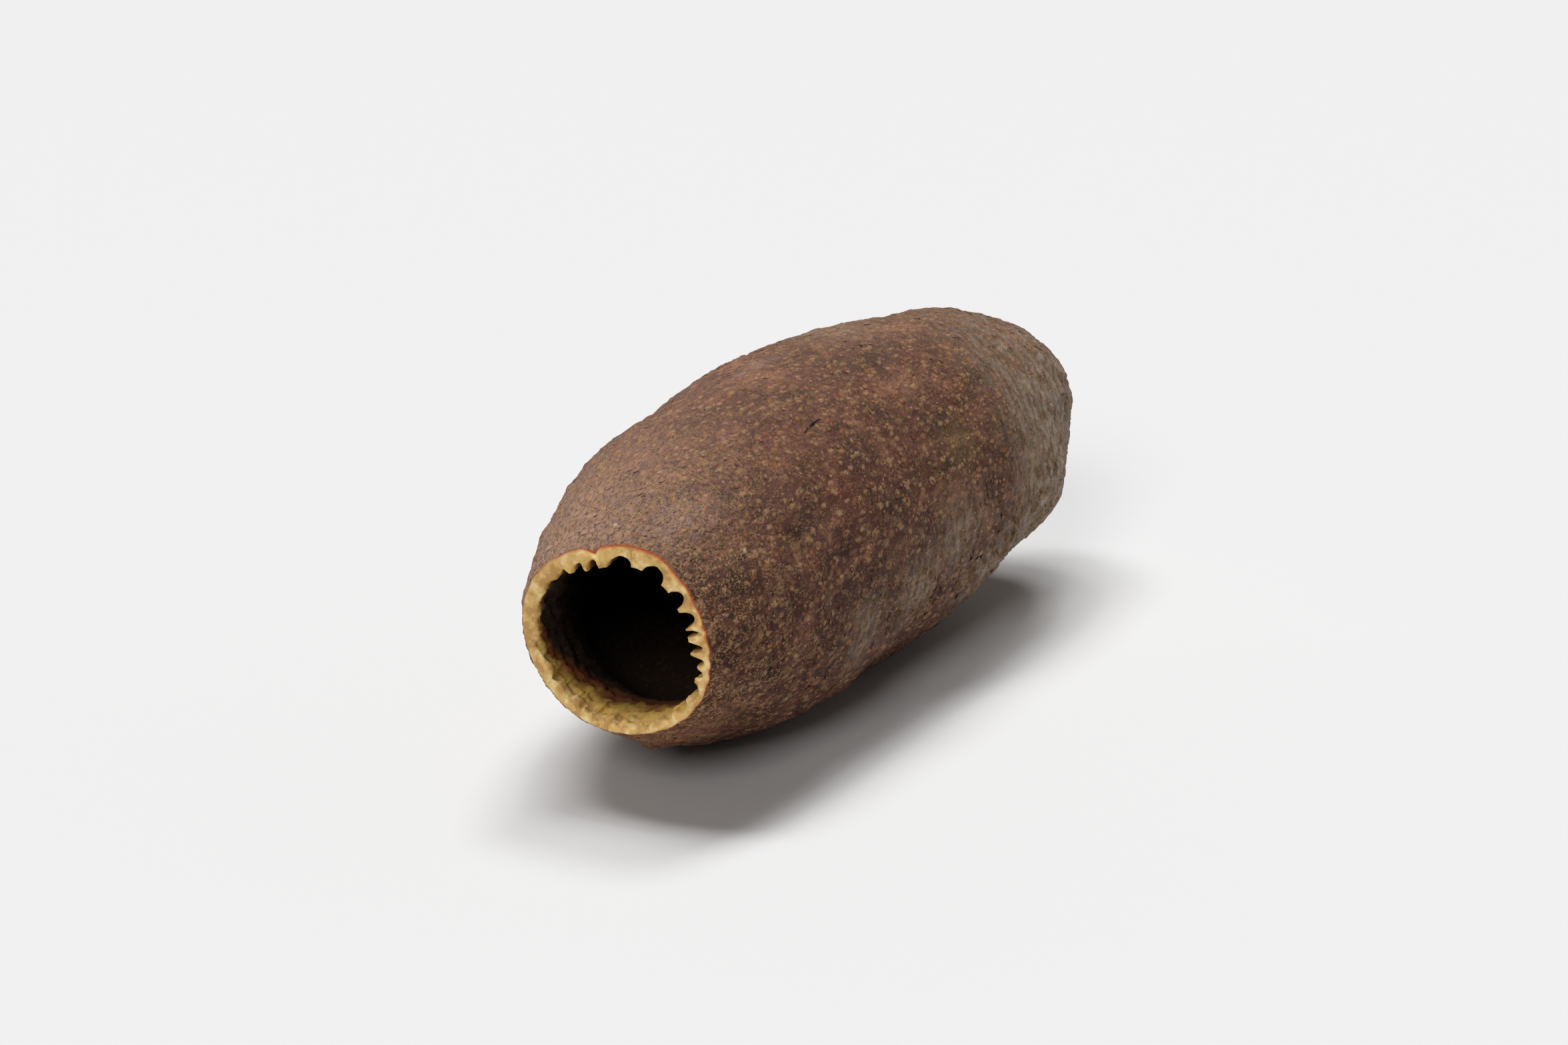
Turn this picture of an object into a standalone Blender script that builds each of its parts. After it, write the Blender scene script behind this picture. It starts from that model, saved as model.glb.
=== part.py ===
"""Jequitiba pod: the empty woody fruit case of a jequitiba tree, lying on its side.

The case is one piece of wood. Its lid and seeds have dropped out, so it is a
blunt, slightly bowed barrel with one round mouth, whose wall ends in a fluted
lid seat. The pod lies along Y with its mouth towards -Y, and Z is up. It
stands on the plane Z = 0, on a small flat spot under its belly.
"""

import math
import random

import bmesh
import bpy
import numpy as np

MM = 0.001

# The barrel. A share t runs from 0 at the mouth to 1 at the stalk end.
LENGTH = 100 * MM
MOUTH_RADIUS = 10.0 * MM
BELLY_RADIUS = 17.7 * MM
BELLY_AT = 0.366
SHOULDER_POWER = 0.86
BUTT_POWER = 3.3
BUTT_ROUNDNESS = 2.45

# The centre line: the mouth sits to one side of the belly, and the whole pod bows.
NECK_SHIFT_X = -3.6 * MM
NECK_REACH = 0.45
BOW_X = -1.8 * MM
BOW_Z = -1.0 * MM

# Out-of-round: waves round the pod, share of the radius, and phase in degrees.
MOUTH_ROUND = ((2, 0.045, 0), (3, 0.016, -190), (4, 0.018, 99))
BODY_ROUND = ((2, -0.048, 9),)
MOUTH_FADE = 0.14

# Ridges of the lid seat: angle, half the width of the crest in degrees, and height.
RIDGES = (
    (8, 2.0, 1.10 * MM),
    (15, 0.9, 1.05 * MM),
    (29, 1.8, 1.05 * MM),
    (47, 3.8, 0.95 * MM),
    (73, 4.6, 0.85 * MM),
    (102, 3.6, 0.85 * MM),
    (118, 1.0, 0.90 * MM),
    (130, 1.8, 0.55 * MM),
    (145, 2.4, 0.50 * MM),
    (158, 1.6, 0.35 * MM),
    (171, 1.4, 0.45 * MM),
    (184, 1.8, 0.35 * MM),
    (197, 1.3, 0.50 * MM),
    (210, 1.8, 0.60 * MM),
    (222, 1.4, 0.45 * MM),
    (236, 1.8, 0.60 * MM),
    (250, 1.4, 0.45 * MM),
    (262, 1.6, 0.55 * MM),
    (274, 1.4, 0.45 * MM),
    (286, 1.8, 0.50 * MM),
    (299, 1.5, 0.40 * MM),
    (313, 1.6, 0.45 * MM),
    (327, 1.2, 0.50 * MM),
    (341, 1.6, 0.50 * MM),
    (350, 0.9, 0.45 * MM),
    (358, 1.0, 1.10 * MM),
)
# Where the bay between two ridges is divided, and how round its bottom is.
BAY_SHARES = (0.12, 0.37, 0.63, 0.88)
BAY_ROUNDNESS = 0.5

# The wall: thin at the mouth, thicker over the body and at the blind end.
RIM_WALL = 1.05 * MM
THICK_SIDE_ANGLE = 105
THICK_SIDE_EXTRA = 0.33
SEAT_DEPTH = 5.0 * MM
RIDGE_ENDS = (0.7, 1.3)
RIM_FACE_DROP = 0.45 * MM
RIDGE_FACE_RISE = 0.35 * MM
BODY_WALL = 2.6 * MM
BUTT_WALL = 5.0 * MM
CAVITY_OPENS_BY = 15 * MM

# The mouth's outer edge: it swells over each bay, waves along Y, and blends into the bark.
EDGE_SWELL = 0.13 * MM
EDGE_WAVE = 0.18 * MM
EDGE_WAVES = 3
EDGE_WAVE_PHASE = 57
EDGE_BLEND = 1.2 * MM

# The rest spot: how deep the belly is worn flat.
FLAT_DEPTH = 0.45 * MM

# The stalk scar at the far tip: a low collar round a shallow pit.
SCAR_RADIUS = 2.6 * MM
SCAR_COLLAR = 0.45 * MM
SCAR_COLLAR_WIDTH = 0.42
SCAR_PIT = 0.75 * MM
SCAR_PIT_WIDTH = 0.7

# Dents and swellings: share of the length, angle from +X towards +Z in degrees,
# height, and reach along the pod and round it.
LUMPS = (
    (0.04, 168, -0.40 * MM, 4.0 * MM, 5.0 * MM),
    (0.16, 130, 0.35 * MM, 6.0 * MM, 6.0 * MM),
    (0.30, 124, -0.95 * MM, 7.0 * MM, 8.0 * MM),
    (0.41, 100, 0.55 * MM, 6.0 * MM, 7.0 * MM),
    (0.55, 113, 0.10 * MM, 7.0 * MM, 8.0 * MM),
    (0.72, 104, -0.60 * MM, 5.0 * MM, 8.0 * MM),
    (0.82, 98, 0.30 * MM, 5.0 * MM, 6.0 * MM),
    (0.92, 46, 0.35 * MM, 5.0 * MM, 8.0 * MM),
    (0.71, 327, -1.15 * MM, 7.0 * MM, 7.0 * MM),
    (0.79, 314, -1.70 * MM, 5.5 * MM, 6.5 * MM),
    (0.90, 2, -1.10 * MM, 5.0 * MM, 6.0 * MM),
    (0.44, 300, -0.80 * MM, 8.0 * MM, 7.0 * MM),
    (0.22, 284, -0.25 * MM, 5.0 * MM, 5.0 * MM),
    (0.52, 276, 0.20 * MM, 12.0 * MM, 5.0 * MM),
    (0.16, 62, 0.55 * MM, 4.5 * MM, 4.5 * MM),
    (0.27, 48, -0.45 * MM, 5.0 * MM, 5.0 * MM),
    (0.50, 30, -0.50 * MM, 8.0 * MM, 7.0 * MM),
    (0.68, 50, 0.45 * MM, 7.0 * MM, 7.0 * MM),
    (0.40, 205, -0.60 * MM, 9.0 * MM, 8.0 * MM),
    (0.66, 190, 0.45 * MM, 8.0 * MM, 8.0 * MM),
    (0.72, 232, -0.55 * MM, 7.0 * MM, 7.0 * MM),
    (0.20, 222, 0.35 * MM, 5.0 * MM, 5.0 * MM),
)
# The nub under the mouth, left by a lobe of the flower's cup.
NUB = (0.105, 268, 0.75 * MM, 1.35 * MM, 1.25 * MM)
# The chip in the mouth's upper edge and the worn stretch beside it: angle, depth, reach in degrees.
CHIPS = ((108, 0.80 * MM, 4.5), (92, 0.35 * MM, 12.0))
CHIP_NOTCH = 0.5

# Gentle waves over the whole skin: height, and how many of them.
WAVE_SEED = 5
WAVE_COUNT = 9
WAVE_HEIGHT = 0.11 * MM
WAVES_ROUND = 6
WAVES_ALONG = 5

# Where the rings of the skin lie, in millimetres behind the mouth, and round the tip by radius.
MOUTH_RINGS = (0.0, 0.5, 1.4)
NECK_RINGS = (3.0, 5.0, 7.0, 8.6, 9.5, 10.5, 11.5, 12.5, 14.5)
BODY_RINGS = tuple(range(18, 79, 4))
BUTT_RADII = (14.9, 13.9, 12.6, 11.0, 9.2, 7.4)
TIP_RADII = (5.8, 4.6, 3.8, 3.2, 2.6, 2.0, 1.3, 0.6)
EVEN_BY = 30 * MM
# The same for the seat, as shares of its depth, and for the hollow behind it.
SEAT_RINGS = (0.03, 0.25, 0.55, 0.9, 1.2)
HOLLOW_RINGS = (8.0, 11.0, 15.0, 22.0, 32.0, 44.0, 56.0)
HOLLOW_END_RADII = (14.0, 12.5, 10.0, 7.0, 3.5)
# Edges sharper than this are shaded as edges.
SHARP_ANGLE = 50


def barrel_radius(t):
    """Radius of the plain turned barrel at a share t of its length."""
    if t < BELLY_AT:
        rise = math.sin(math.pi / 2 * t / BELLY_AT) ** SHOULDER_POWER
        return MOUTH_RADIUS + (BELLY_RADIUS - MOUTH_RADIUS) * rise
    back = (t - BELLY_AT) / (1 - BELLY_AT)
    return BELLY_RADIUS * max(1 - back**BUTT_POWER, 0.0) ** (1 / BUTT_ROUNDNESS)


def centre_line(t):
    """X and Z of the pod's centre line, measured from the middle of the mouth."""
    shift = 1 - max(1 - t / NECK_REACH, 0.0) ** 2
    bow = math.sin(math.pi * t)
    return NECK_SHIFT_X * shift + BOW_X * bow, BOW_Z * bow


def ring_wave(waves, angle):
    """Sum of the waves round one ring, as a share of its radius."""
    return sum(share * math.cos(times * angle + math.radians(phase)) for times, share, phase in waves)


def out_of_round(t, angle):
    """Factor on the radius: an uneven ring at the mouth, a slight oval over the body."""
    near_mouth = math.exp(-((t / MOUTH_FADE) ** 2))
    return 1 + near_mouth * ring_wave(MOUTH_ROUND, angle) + (1 - near_mouth) * ring_wave(BODY_ROUND, angle)


def angle_between(a, b):
    """The smaller angle from b to a, signed."""
    return (a - b + math.pi) % (2 * math.pi) - math.pi


def lump_height(lump, t, angle, radius):
    """Height that one dent, swelling or nub adds at a place on the skin."""
    at, degrees, height, reach_along, reach_round = lump
    along = (t - at) * LENGTH / reach_along
    around = angle_between(angle, math.radians(degrees)) * radius / reach_round
    return height * math.exp(-(along**2) - around**2)


def make_waves():
    """Seeded (times round, times along, phase) of the gentle waves over the skin."""
    draw = random.Random(WAVE_SEED)
    waves = []
    for _ in range(WAVE_COUNT):
        times_round = draw.randint(1, WAVES_ROUND)
        times_along = draw.randint(1, WAVES_ALONG)
        waves.append((times_round, times_along, draw.uniform(0, 2 * math.pi)))
    return waves


WAVES = make_waves()


def wave_height(t, angle):
    """Sum of the gentle waves, which die out towards the tip."""
    total = 0.0
    for times_round, times_along, phase in WAVES:
        total += math.cos(times_round * angle + 2 * math.pi * times_along * t + phase)
    return WAVE_HEIGHT * total * min(1, t / MOUTH_FADE) * min(1, (1 - t) / MOUTH_FADE)


def skin_radius(t, angle):
    """Radius of the finished outer skin at a share t and an angle."""
    plain = barrel_radius(t) * out_of_round(t, angle)
    relief = sum(lump_height(lump, t, angle, plain) for lump in LUMPS)
    return plain + relief + lump_height(NUB, t, angle, plain) + wave_height(t, angle)


def share_at_radius(radius):
    """Share of the length at which the blunt end of the barrel has a radius."""
    thin = 1 - (radius / BELLY_RADIUS) ** BUTT_ROUNDNESS
    return BELLY_AT + (1 - BELLY_AT) * thin ** (1 / BUTT_POWER)


def scar_offset(radius):
    """How far the stalk scar stands out of the tip, at a distance from its middle."""
    x = radius / SCAR_RADIUS
    collar = SCAR_COLLAR * math.exp(-(((x - 1) / SCAR_COLLAR_WIDTH) ** 2))
    return collar - SCAR_PIT * math.exp(-((x / SCAR_PIT_WIDTH) ** 2))


def skin_point(t, angle):
    """A point of the outer skin, measured from the middle of the mouth."""
    x, z = centre_line(t)
    radius = skin_radius(t, angle)
    y = t * LENGTH
    if t > BELLY_AT:
        y += scar_offset(radius)
    return x + radius * math.cos(angle), y, z + radius * math.sin(angle)


def flute_samples():
    """(angle, even angle, ridge height, swell) of the points round the mouth, six to a ridge."""
    places = []
    for i, (at, half, height) in enumerate(RIDGES):
        after, after_half, after_height = RIDGES[(i + 1) % len(RIDGES)]
        bay_start = at + half
        bay_end = after - after_half + (360 if after < at else 0)
        places.append((at - half, height, 0.0))
        places.append((at + half, height, 0.0))
        for share in BAY_SHARES:
            depth = math.sin(math.pi * share)
            crest = height * (1 - share) + after_height * share
            place = bay_start + (bay_end - bay_start) * share
            places.append((place, crest * (1 - depth**BAY_ROUNDNESS), depth))
    step = 360 / len(places)
    offset = sum(place[0] - i * step for i, place in enumerate(places)) / len(places)
    samples = []
    for i, (at, ridge, swell) in enumerate(places):
        samples.append((math.radians(at), math.radians(i * step + offset), ridge, swell))
    return samples


SAMPLES = flute_samples()


def chip_depth(angle):
    """Depth of the chip and the worn stretch in the mouth's edge at an angle."""
    total = 0.0
    for at, depth, reach in CHIPS:
        off = math.degrees(angle_between(angle, math.radians(at)))
        total += depth * math.exp(-((off / reach) ** 2))
    return total


def edge_radius(angle, swell):
    """Radius of the mouth's outer edge before it was chipped."""
    return skin_radius(0, angle) + EDGE_SWELL * (swell - 0.5)


def edge_y(angle):
    """How far the mouth's outer edge lies behind the plane of the mouth."""
    wave = math.cos(EDGE_WAVES * angle + math.radians(EDGE_WAVE_PHASE))
    return EDGE_WAVE * wave + CHIP_NOTCH * chip_depth(angle)


def seat_wall(angle, ridge, depth):
    """Wall thickness in the fluted seat, at a depth below the mouth."""
    side = 1 + THICK_SIDE_EXTRA * math.cos(angle - math.radians(THICK_SIDE_ANGLE))
    start, end = RIDGE_ENDS
    gone = (depth / SEAT_DEPTH - start) / (end - start)
    return RIM_WALL * side + ridge * (1 - max(0.0, min(1.0, gone)))


def ring_angle(sample, y):
    """The angle of a sample: it follows the flutes at the mouth and is evenly spaced further in."""
    even = min(1, y / EVEN_BY)
    return sample[0] + (sample[1] - sample[0]) * even


def mouth_ring(y):
    """A full ring of the outer skin just behind the mouth, y below it."""
    fade = math.exp(-y / EDGE_BLEND)
    ring = []
    for sample in SAMPLES:
        edge, _, _, swell = sample
        angle = ring_angle(sample, y)
        x, skin_y, z = skin_point(y / LENGTH, angle)
        out = (edge_radius(edge, swell) - chip_depth(edge) - skin_radius(0, edge)) * fade
        ring.append((x + out * math.cos(angle), skin_y + edge_y(edge) * fade, z + out * math.sin(angle)))
    return ring


def body_ring(t, step):
    """A ring of the outer skin at a share t, on every step-th sample."""
    return [skin_point(t, ring_angle(sample, t * LENGTH)) for sample in SAMPLES[::step]]


def seat_ring(depth, share):
    """A ring of the lid seat. share runs from 0 at the mouth's edge to 1 on the fluted wall."""
    ring = []
    x, z = centre_line(depth / LENGTH)
    for sample in SAMPLES:
        edge, _, ridge, swell = sample
        angle = ring_angle(sample, depth)
        inward = seat_wall(angle, ridge, depth) * share + chip_depth(edge) * (1 - share)
        radius = edge_radius(edge, swell) - inward
        y = depth + edge_y(edge) * (1 - share) + share * (RIM_FACE_DROP - RIDGE_FACE_RISE * ridge / MM)
        ring.append((x + radius * math.cos(angle), y, z + radius * math.sin(angle)))
    return ring


def hollow_radius(t, angle):
    """Radius of the hollow at a share t of its own length: the barrel less its wall."""
    radius = barrel_radius(t)
    # Towards the blind end the side wall fades out, so that the radius can reach zero.
    wall = BODY_WALL * min(1.0, radius / (BELLY_RADIUS - BODY_WALL))
    return (radius - wall) * out_of_round(t, angle)


def cavity_ring(y, step):
    """A ring of the hollow at y below the mouth, on every step-th sample."""
    opened = min(1, max(0, (y - SEAT_DEPTH) / (CAVITY_OPENS_BY - SEAT_DEPTH)))
    opened = opened * opened * (3 - 2 * opened)
    # Deep in, the hollow is the barrel's own shape, drawn smaller.
    share = y / (LENGTH - BUTT_WALL)
    x, z = centre_line(y / LENGTH)
    ring = []
    for sample in SAMPLES[::step]:
        angle = ring_angle(sample, y)
        seat = edge_radius(angle, 0) - seat_wall(angle, 0, y)
        radius = seat + (hollow_radius(share, angle) - seat) * opened
        ring.append((x + radius * math.cos(angle), y, z + radius * math.sin(angle)))
    return ring


def add_ring(bm, points):
    return [bm.verts.new(point) for point in points]


def join_rings(bm, first, second):
    """Faces between two rings that run the same way, where one may have half the points of the other."""
    count = len(first)
    if len(second) == count:
        for i in range(count):
            k = (i + 1) % count
            bm.faces.new((first[i], first[k], second[k], second[i]))
        return
    flip = len(second) > count
    fine, coarse = (second, first) if flip else (first, second)
    for i in range(len(coarse)):
        a, b, c = (fine[(2 * i + j) % len(fine)] for j in range(3))
        d, e = coarse[i], coarse[(i + 1) % len(coarse)]
        for face in ((a, b, d), (b, e, d), (b, c, e)):
            bm.faces.new(face[::-1] if flip else face)


def close_ring(bm, ring, tip):
    """A fan from a ring to the point at its tip."""
    point = bm.verts.new(tip)
    for i, vert in enumerate(ring):
        bm.faces.new((vert, ring[(i + 1) % len(ring)], point))


def skin_rings():
    """Rings of the outer skin, from the mouth's edge to the tip."""
    rings = [mouth_ring(y * MM) for y in MOUTH_RINGS]
    rings += [body_ring(y * MM / LENGTH, 2) for y in NECK_RINGS + BODY_RINGS]
    rings += [body_ring(share_at_radius(radius * MM), 2) for radius in BUTT_RADII]
    rings += [body_ring(share_at_radius(radius * MM), 4) for radius in TIP_RADII]
    return rings


def inner_rings():
    """Rings of the rim's face, the fluted wall under it and the hollow down to its blind end."""
    rings = [seat_ring(0, 0.5)]
    rings += [seat_ring(SEAT_DEPTH * share, 1) for share in SEAT_RINGS]
    rings += [cavity_ring(y * MM, 2) for y in HOLLOW_RINGS]
    inner_end = LENGTH - BUTT_WALL
    rings += [cavity_ring(inner_end * share_at_radius(radius * MM), 4) for radius in HOLLOW_END_RADII]
    return rings


def pod_mesh():
    """The whole pod as one closed mesh, standing on Z = 0 and centred on X = Y = 0."""
    bm = bmesh.new()
    skin = [add_ring(bm, ring) for ring in skin_rings()]
    inside = [add_ring(bm, ring) for ring in inner_rings()]
    for first, second in zip(skin, skin[1:]):
        join_rings(bm, first, second)
    tip_x, tip_z = centre_line(1)
    close_ring(bm, skin[-1], (tip_x, LENGTH + scar_offset(0), tip_z))
    # The rim and the hollow turn back from the mouth's edge.
    for first, second in zip([skin[0]] + inside, inside):
        join_rings(bm, second, first)
    inner_x, inner_z = centre_line((LENGTH - BUTT_WALL) / LENGTH)
    close_ring(bm, inside[-1], (inner_x, LENGTH - BUTT_WALL, inner_z))
    bmesh.ops.recalc_face_normals(bm, faces=bm.faces)
    settle(bm, [vert for ring in skin for vert in ring])
    bmesh.ops.triangulate(bm, faces=bm.faces, quad_method="BEAUTY")
    mesh = bpy.data.meshes.new("pod")
    bm.to_mesh(mesh)
    bm.free()
    return mesh


def settle(bm, skin):
    """Wears the belly flat, then moves the pod so that it stands on Z = 0, centred in X and Y."""
    floor = min(vert.co.z for vert in skin) + FLAT_DEPTH
    for vert in skin:
        vert.co.z = max(vert.co.z, floor)
    low = np.min([vert.co for vert in skin], axis=0)
    high = np.max([vert.co for vert in skin], axis=0)
    for vert in bm.verts:
        vert.co.x -= (low[0] + high[0]) / 2
        vert.co.y -= (low[1] + high[1]) / 2
        vert.co.z -= floor


def bark_material():
    """Dull red-brown bark."""
    material = bpy.data.materials.new("bark")
    material.use_nodes = True
    shader = material.node_tree.nodes["Principled BSDF"]
    shader.inputs["Base Color"].default_value = (0.16, 0.075, 0.045, 1)
    shader.inputs["Roughness"].default_value = 0.62
    shader.inputs["Metallic"].default_value = 0.0
    return material


def make_pod():
    mesh = pod_mesh()
    mesh.materials.append(bark_material())
    mesh.shade_smooth()
    mesh.set_sharp_from_angle(angle=math.radians(SHARP_ANGLE))
    pod = bpy.data.objects.new("pod", mesh)
    bpy.context.scene.collection.objects.link(pod)
    return pod


def clear_scene():
    for obj in list(bpy.data.objects):
        bpy.data.objects.remove(obj)


clear_scene()
make_pod()
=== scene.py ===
# %% [markdown]
# An empty jequitiba pod
#
# The real thing is the woody fruit case of a tall tree. It ripened, its round lid dropped out of
# the mouth and the winged seeds flew off, so what is left is a hollow wooden barrel as long as a
# finger. This lesson dresses the plain solid of that case: a finer skin, corky flecks, a pale
# fluted rim, and the light that it lies in.

# %% Load the solid that everything is measured from
import math
import random

import bpy
import numpy as np
from mathutils import Matrix, Vector


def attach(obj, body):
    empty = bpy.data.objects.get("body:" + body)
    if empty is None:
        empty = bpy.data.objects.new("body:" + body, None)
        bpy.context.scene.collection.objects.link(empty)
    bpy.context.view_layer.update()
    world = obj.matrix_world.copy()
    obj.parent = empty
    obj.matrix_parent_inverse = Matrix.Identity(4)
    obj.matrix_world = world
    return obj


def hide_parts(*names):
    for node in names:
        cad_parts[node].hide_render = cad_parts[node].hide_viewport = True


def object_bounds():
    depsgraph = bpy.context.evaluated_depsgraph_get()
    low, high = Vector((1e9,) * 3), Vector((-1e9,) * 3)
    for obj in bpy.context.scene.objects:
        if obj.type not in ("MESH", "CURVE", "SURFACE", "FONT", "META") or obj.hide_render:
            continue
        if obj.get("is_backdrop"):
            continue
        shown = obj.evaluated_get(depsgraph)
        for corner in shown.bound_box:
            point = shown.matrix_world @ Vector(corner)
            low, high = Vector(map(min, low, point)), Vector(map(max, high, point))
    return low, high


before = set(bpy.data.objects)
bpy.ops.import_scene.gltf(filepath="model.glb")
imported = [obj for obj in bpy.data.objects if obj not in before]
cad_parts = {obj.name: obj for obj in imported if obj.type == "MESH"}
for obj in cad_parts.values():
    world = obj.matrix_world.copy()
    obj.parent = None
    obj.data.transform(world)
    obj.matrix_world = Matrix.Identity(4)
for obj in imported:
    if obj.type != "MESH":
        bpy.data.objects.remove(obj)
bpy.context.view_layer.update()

MM = 0.001

# %% [markdown]
# The shape
#
# A pod like this could be sculpted by hand, but a formula is easier to change and gives the same
# result each time. The case is a turned barrel: a radius for each place along it. Its centre line
# is moved sideways at the neck and bowed, its rings are made a little oval, and dents and swellings
# are added as soft hills. A share t runs from 0 at the mouth to 1 at the stalk end.

# %% The barrel and its centre line
LENGTH = 100 * MM
MOUTH_RADIUS = 10.0 * MM
BELLY_RADIUS = 17.7 * MM
BELLY_AT = 0.366
SHOULDER_POWER = 0.86
BUTT_POWER = 3.3
BUTT_ROUNDNESS = 2.45

NECK_SHIFT_X = -3.6 * MM
NECK_REACH = 0.45
BOW_X = -1.8 * MM
BOW_Z = -1.0 * MM


def barrel_radius(t):
    """Radius of the plain turned barrel."""
    front = np.clip(t / BELLY_AT, 0, 1)
    back = np.clip((t - BELLY_AT) / (1 - BELLY_AT), 0, 1)
    neck = MOUTH_RADIUS + (BELLY_RADIUS - MOUTH_RADIUS) * np.sin(np.pi / 2 * front) ** SHOULDER_POWER
    butt = BELLY_RADIUS * (1 - back**BUTT_POWER) ** (1 / BUTT_ROUNDNESS)
    return np.where(t < BELLY_AT, neck, butt)


def share_at_radius(radius):
    """Share of the length at which the blunt end has a radius."""
    thin = 1 - (radius / BELLY_RADIUS) ** BUTT_ROUNDNESS
    return BELLY_AT + (1 - BELLY_AT) * thin ** (1 / BUTT_POWER)


def centre_line(t):
    """X and Z of the centre line, measured from the middle of the mouth."""
    shift = 1 - np.clip(1 - t / NECK_REACH, 0, 1) ** 2
    bow = np.sin(np.pi * t)
    return NECK_SHIFT_X * shift + BOW_X * bow, BOW_Z * bow


samples = np.array([0, BELLY_AT, 0.95])
print("radius at the mouth, the belly and near the tip, in mm:", barrel_radius(samples) / MM)

# %% Out-of-round rings, dents, swellings and gentle waves
MOUTH_ROUND = ((2, 0.045, 0), (3, 0.016, -190), (4, 0.018, 99))
BODY_ROUND = ((2, -0.048, 9),)
MOUTH_FADE = 0.14

# Each dent or swelling: share of the length, angle from +X towards +Z in degrees, then its height
# and its reach along the pod and round it, in millimetres.
LUMPS = (
    (0.04, 168, -0.40, 4, 5), (0.16, 130, 0.35, 6, 6), (0.30, 124, -0.95, 7, 8),
    (0.41, 100, 0.55, 6, 7), (0.55, 113, 0.10, 7, 8), (0.72, 104, -0.60, 5, 8),
    (0.82, 98, 0.30, 5, 6), (0.92, 46, 0.35, 5, 8), (0.71, 327, -1.15, 7, 7),
    (0.79, 314, -1.70, 5.5, 6.5), (0.90, 2, -1.10, 5, 6), (0.44, 300, -0.80, 8, 7),
    (0.22, 284, -0.25, 5, 5), (0.52, 276, 0.20, 12, 5), (0.16, 62, 0.55, 4.5, 4.5),
    (0.27, 48, -0.45, 5, 5), (0.50, 30, -0.50, 8, 7), (0.68, 50, 0.45, 7, 7),
    (0.40, 205, -0.60, 9, 8), (0.66, 190, 0.45, 8, 8), (0.72, 232, -0.55, 7, 7),
    (0.20, 222, 0.35, 5, 5),
)
NUB = (0.105, 268, 0.75, 1.35, 1.25)

WAVE_SEED = 5
WAVE_COUNT = 9
WAVE_HEIGHT = 0.11 * MM
WAVES_ROUND = 6
WAVES_ALONG = 5

SCAR_RADIUS = 2.6 * MM
SCAR_COLLAR = 0.45 * MM
SCAR_COLLAR_WIDTH = 0.42
SCAR_PIT = 0.75 * MM
SCAR_PIT_WIDTH = 0.7

print(len(LUMPS), "dents and swellings, and", WAVE_COUNT, "gentle waves")


def ring_wave(waves, angle):
    """Sum of the waves round one ring, as a share of its radius."""
    return sum(share * np.cos(lobes * angle + math.radians(phase)) for lobes, share, phase in waves)


def out_of_round(t, angle):
    """Factor on the radius: an uneven ring at the mouth, a slight oval over the body."""
    near_mouth = np.exp(-((t / MOUTH_FADE) ** 2))
    return 1 + near_mouth * ring_wave(MOUTH_ROUND, angle) + (1 - near_mouth) * ring_wave(BODY_ROUND, angle)


def angle_between(a, b):
    """The smaller angle from b to a, signed."""
    return (a - b + np.pi) % (2 * np.pi) - np.pi


def facing(angle, degrees, swing, middle, low=0.0, high=1.0):
    """How much the skin faces one side: a wave round the pod, held between low and high."""
    return np.clip(np.cos(angle - math.radians(degrees)) * swing + middle, low, high)


def smooth_step(start, end, value):
    """0 at start and before it, 1 at end and past it, a smooth rise between. Start may be the larger."""
    share = np.clip((value - start) / (end - start), 0, 1)
    return share * share * (3 - 2 * share)


def hill(t, angle, radius, at, degrees, reach_along, reach_round):
    """A soft round hill, 1 high, at a place on the skin. Its reaches are in millimetres."""
    along = (t - at) * LENGTH / (reach_along * MM)
    around = angle_between(angle, math.radians(degrees)) * radius / (reach_round * MM)
    return np.exp(-(along**2) - around**2)


def wave_height(t, angle):
    """Gentle seeded waves over the skin, which die out towards both ends."""
    draw = random.Random(WAVE_SEED)
    total = 0.0
    for _ in range(WAVE_COUNT):
        times_round = draw.randint(1, WAVES_ROUND)
        times_along = draw.randint(1, WAVES_ALONG)
        total = total + np.cos(times_round * angle + 2 * np.pi * times_along * t + draw.uniform(0, 2 * np.pi))
    return WAVE_HEIGHT * total * np.clip(t / MOUTH_FADE, 0, 1) * np.clip((1 - t) / MOUTH_FADE, 0, 1)


def skin_radius(t, angle):
    """Radius of the finished outer skin."""
    plain = barrel_radius(t) * out_of_round(t, angle)
    total = plain + wave_height(t, angle)
    for at, degrees, height, *reaches in LUMPS + (NUB,):
        total = total + height * MM * hill(t, angle, plain, at, degrees, *reaches)
    return total


def scar_offset(radius):
    """How far the stalk scar stands out of the tip, at a distance from its middle."""
    x = radius / SCAR_RADIUS
    collar = SCAR_COLLAR * np.exp(-(((x - 1) / SCAR_COLLAR_WIDTH) ** 2))
    return collar - SCAR_PIT * np.exp(-((x / SCAR_PIT_WIDTH) ** 2))


def on_ring(t, radius, angle, y):
    """Points at a radius and angle from the centre line, y behind the mouth."""
    x, z = centre_line(t)
    across = x + radius * np.cos(angle)
    up = z + radius * np.sin(angle)
    return np.stack([across, np.broadcast_to(y, angle.shape), up], -1)

# %% [markdown]
# The lid seat
#
# Round the mouth the wall is cut into flutes, like the edge of a pie. The lid had matching teeth.
# No two flutes are alike, so each ridge has a line of its own: where it stands, how broad its crest
# is, and how high it is. A bay between two ridges is a rounded scoop with a pointed cusp at each end.

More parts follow.
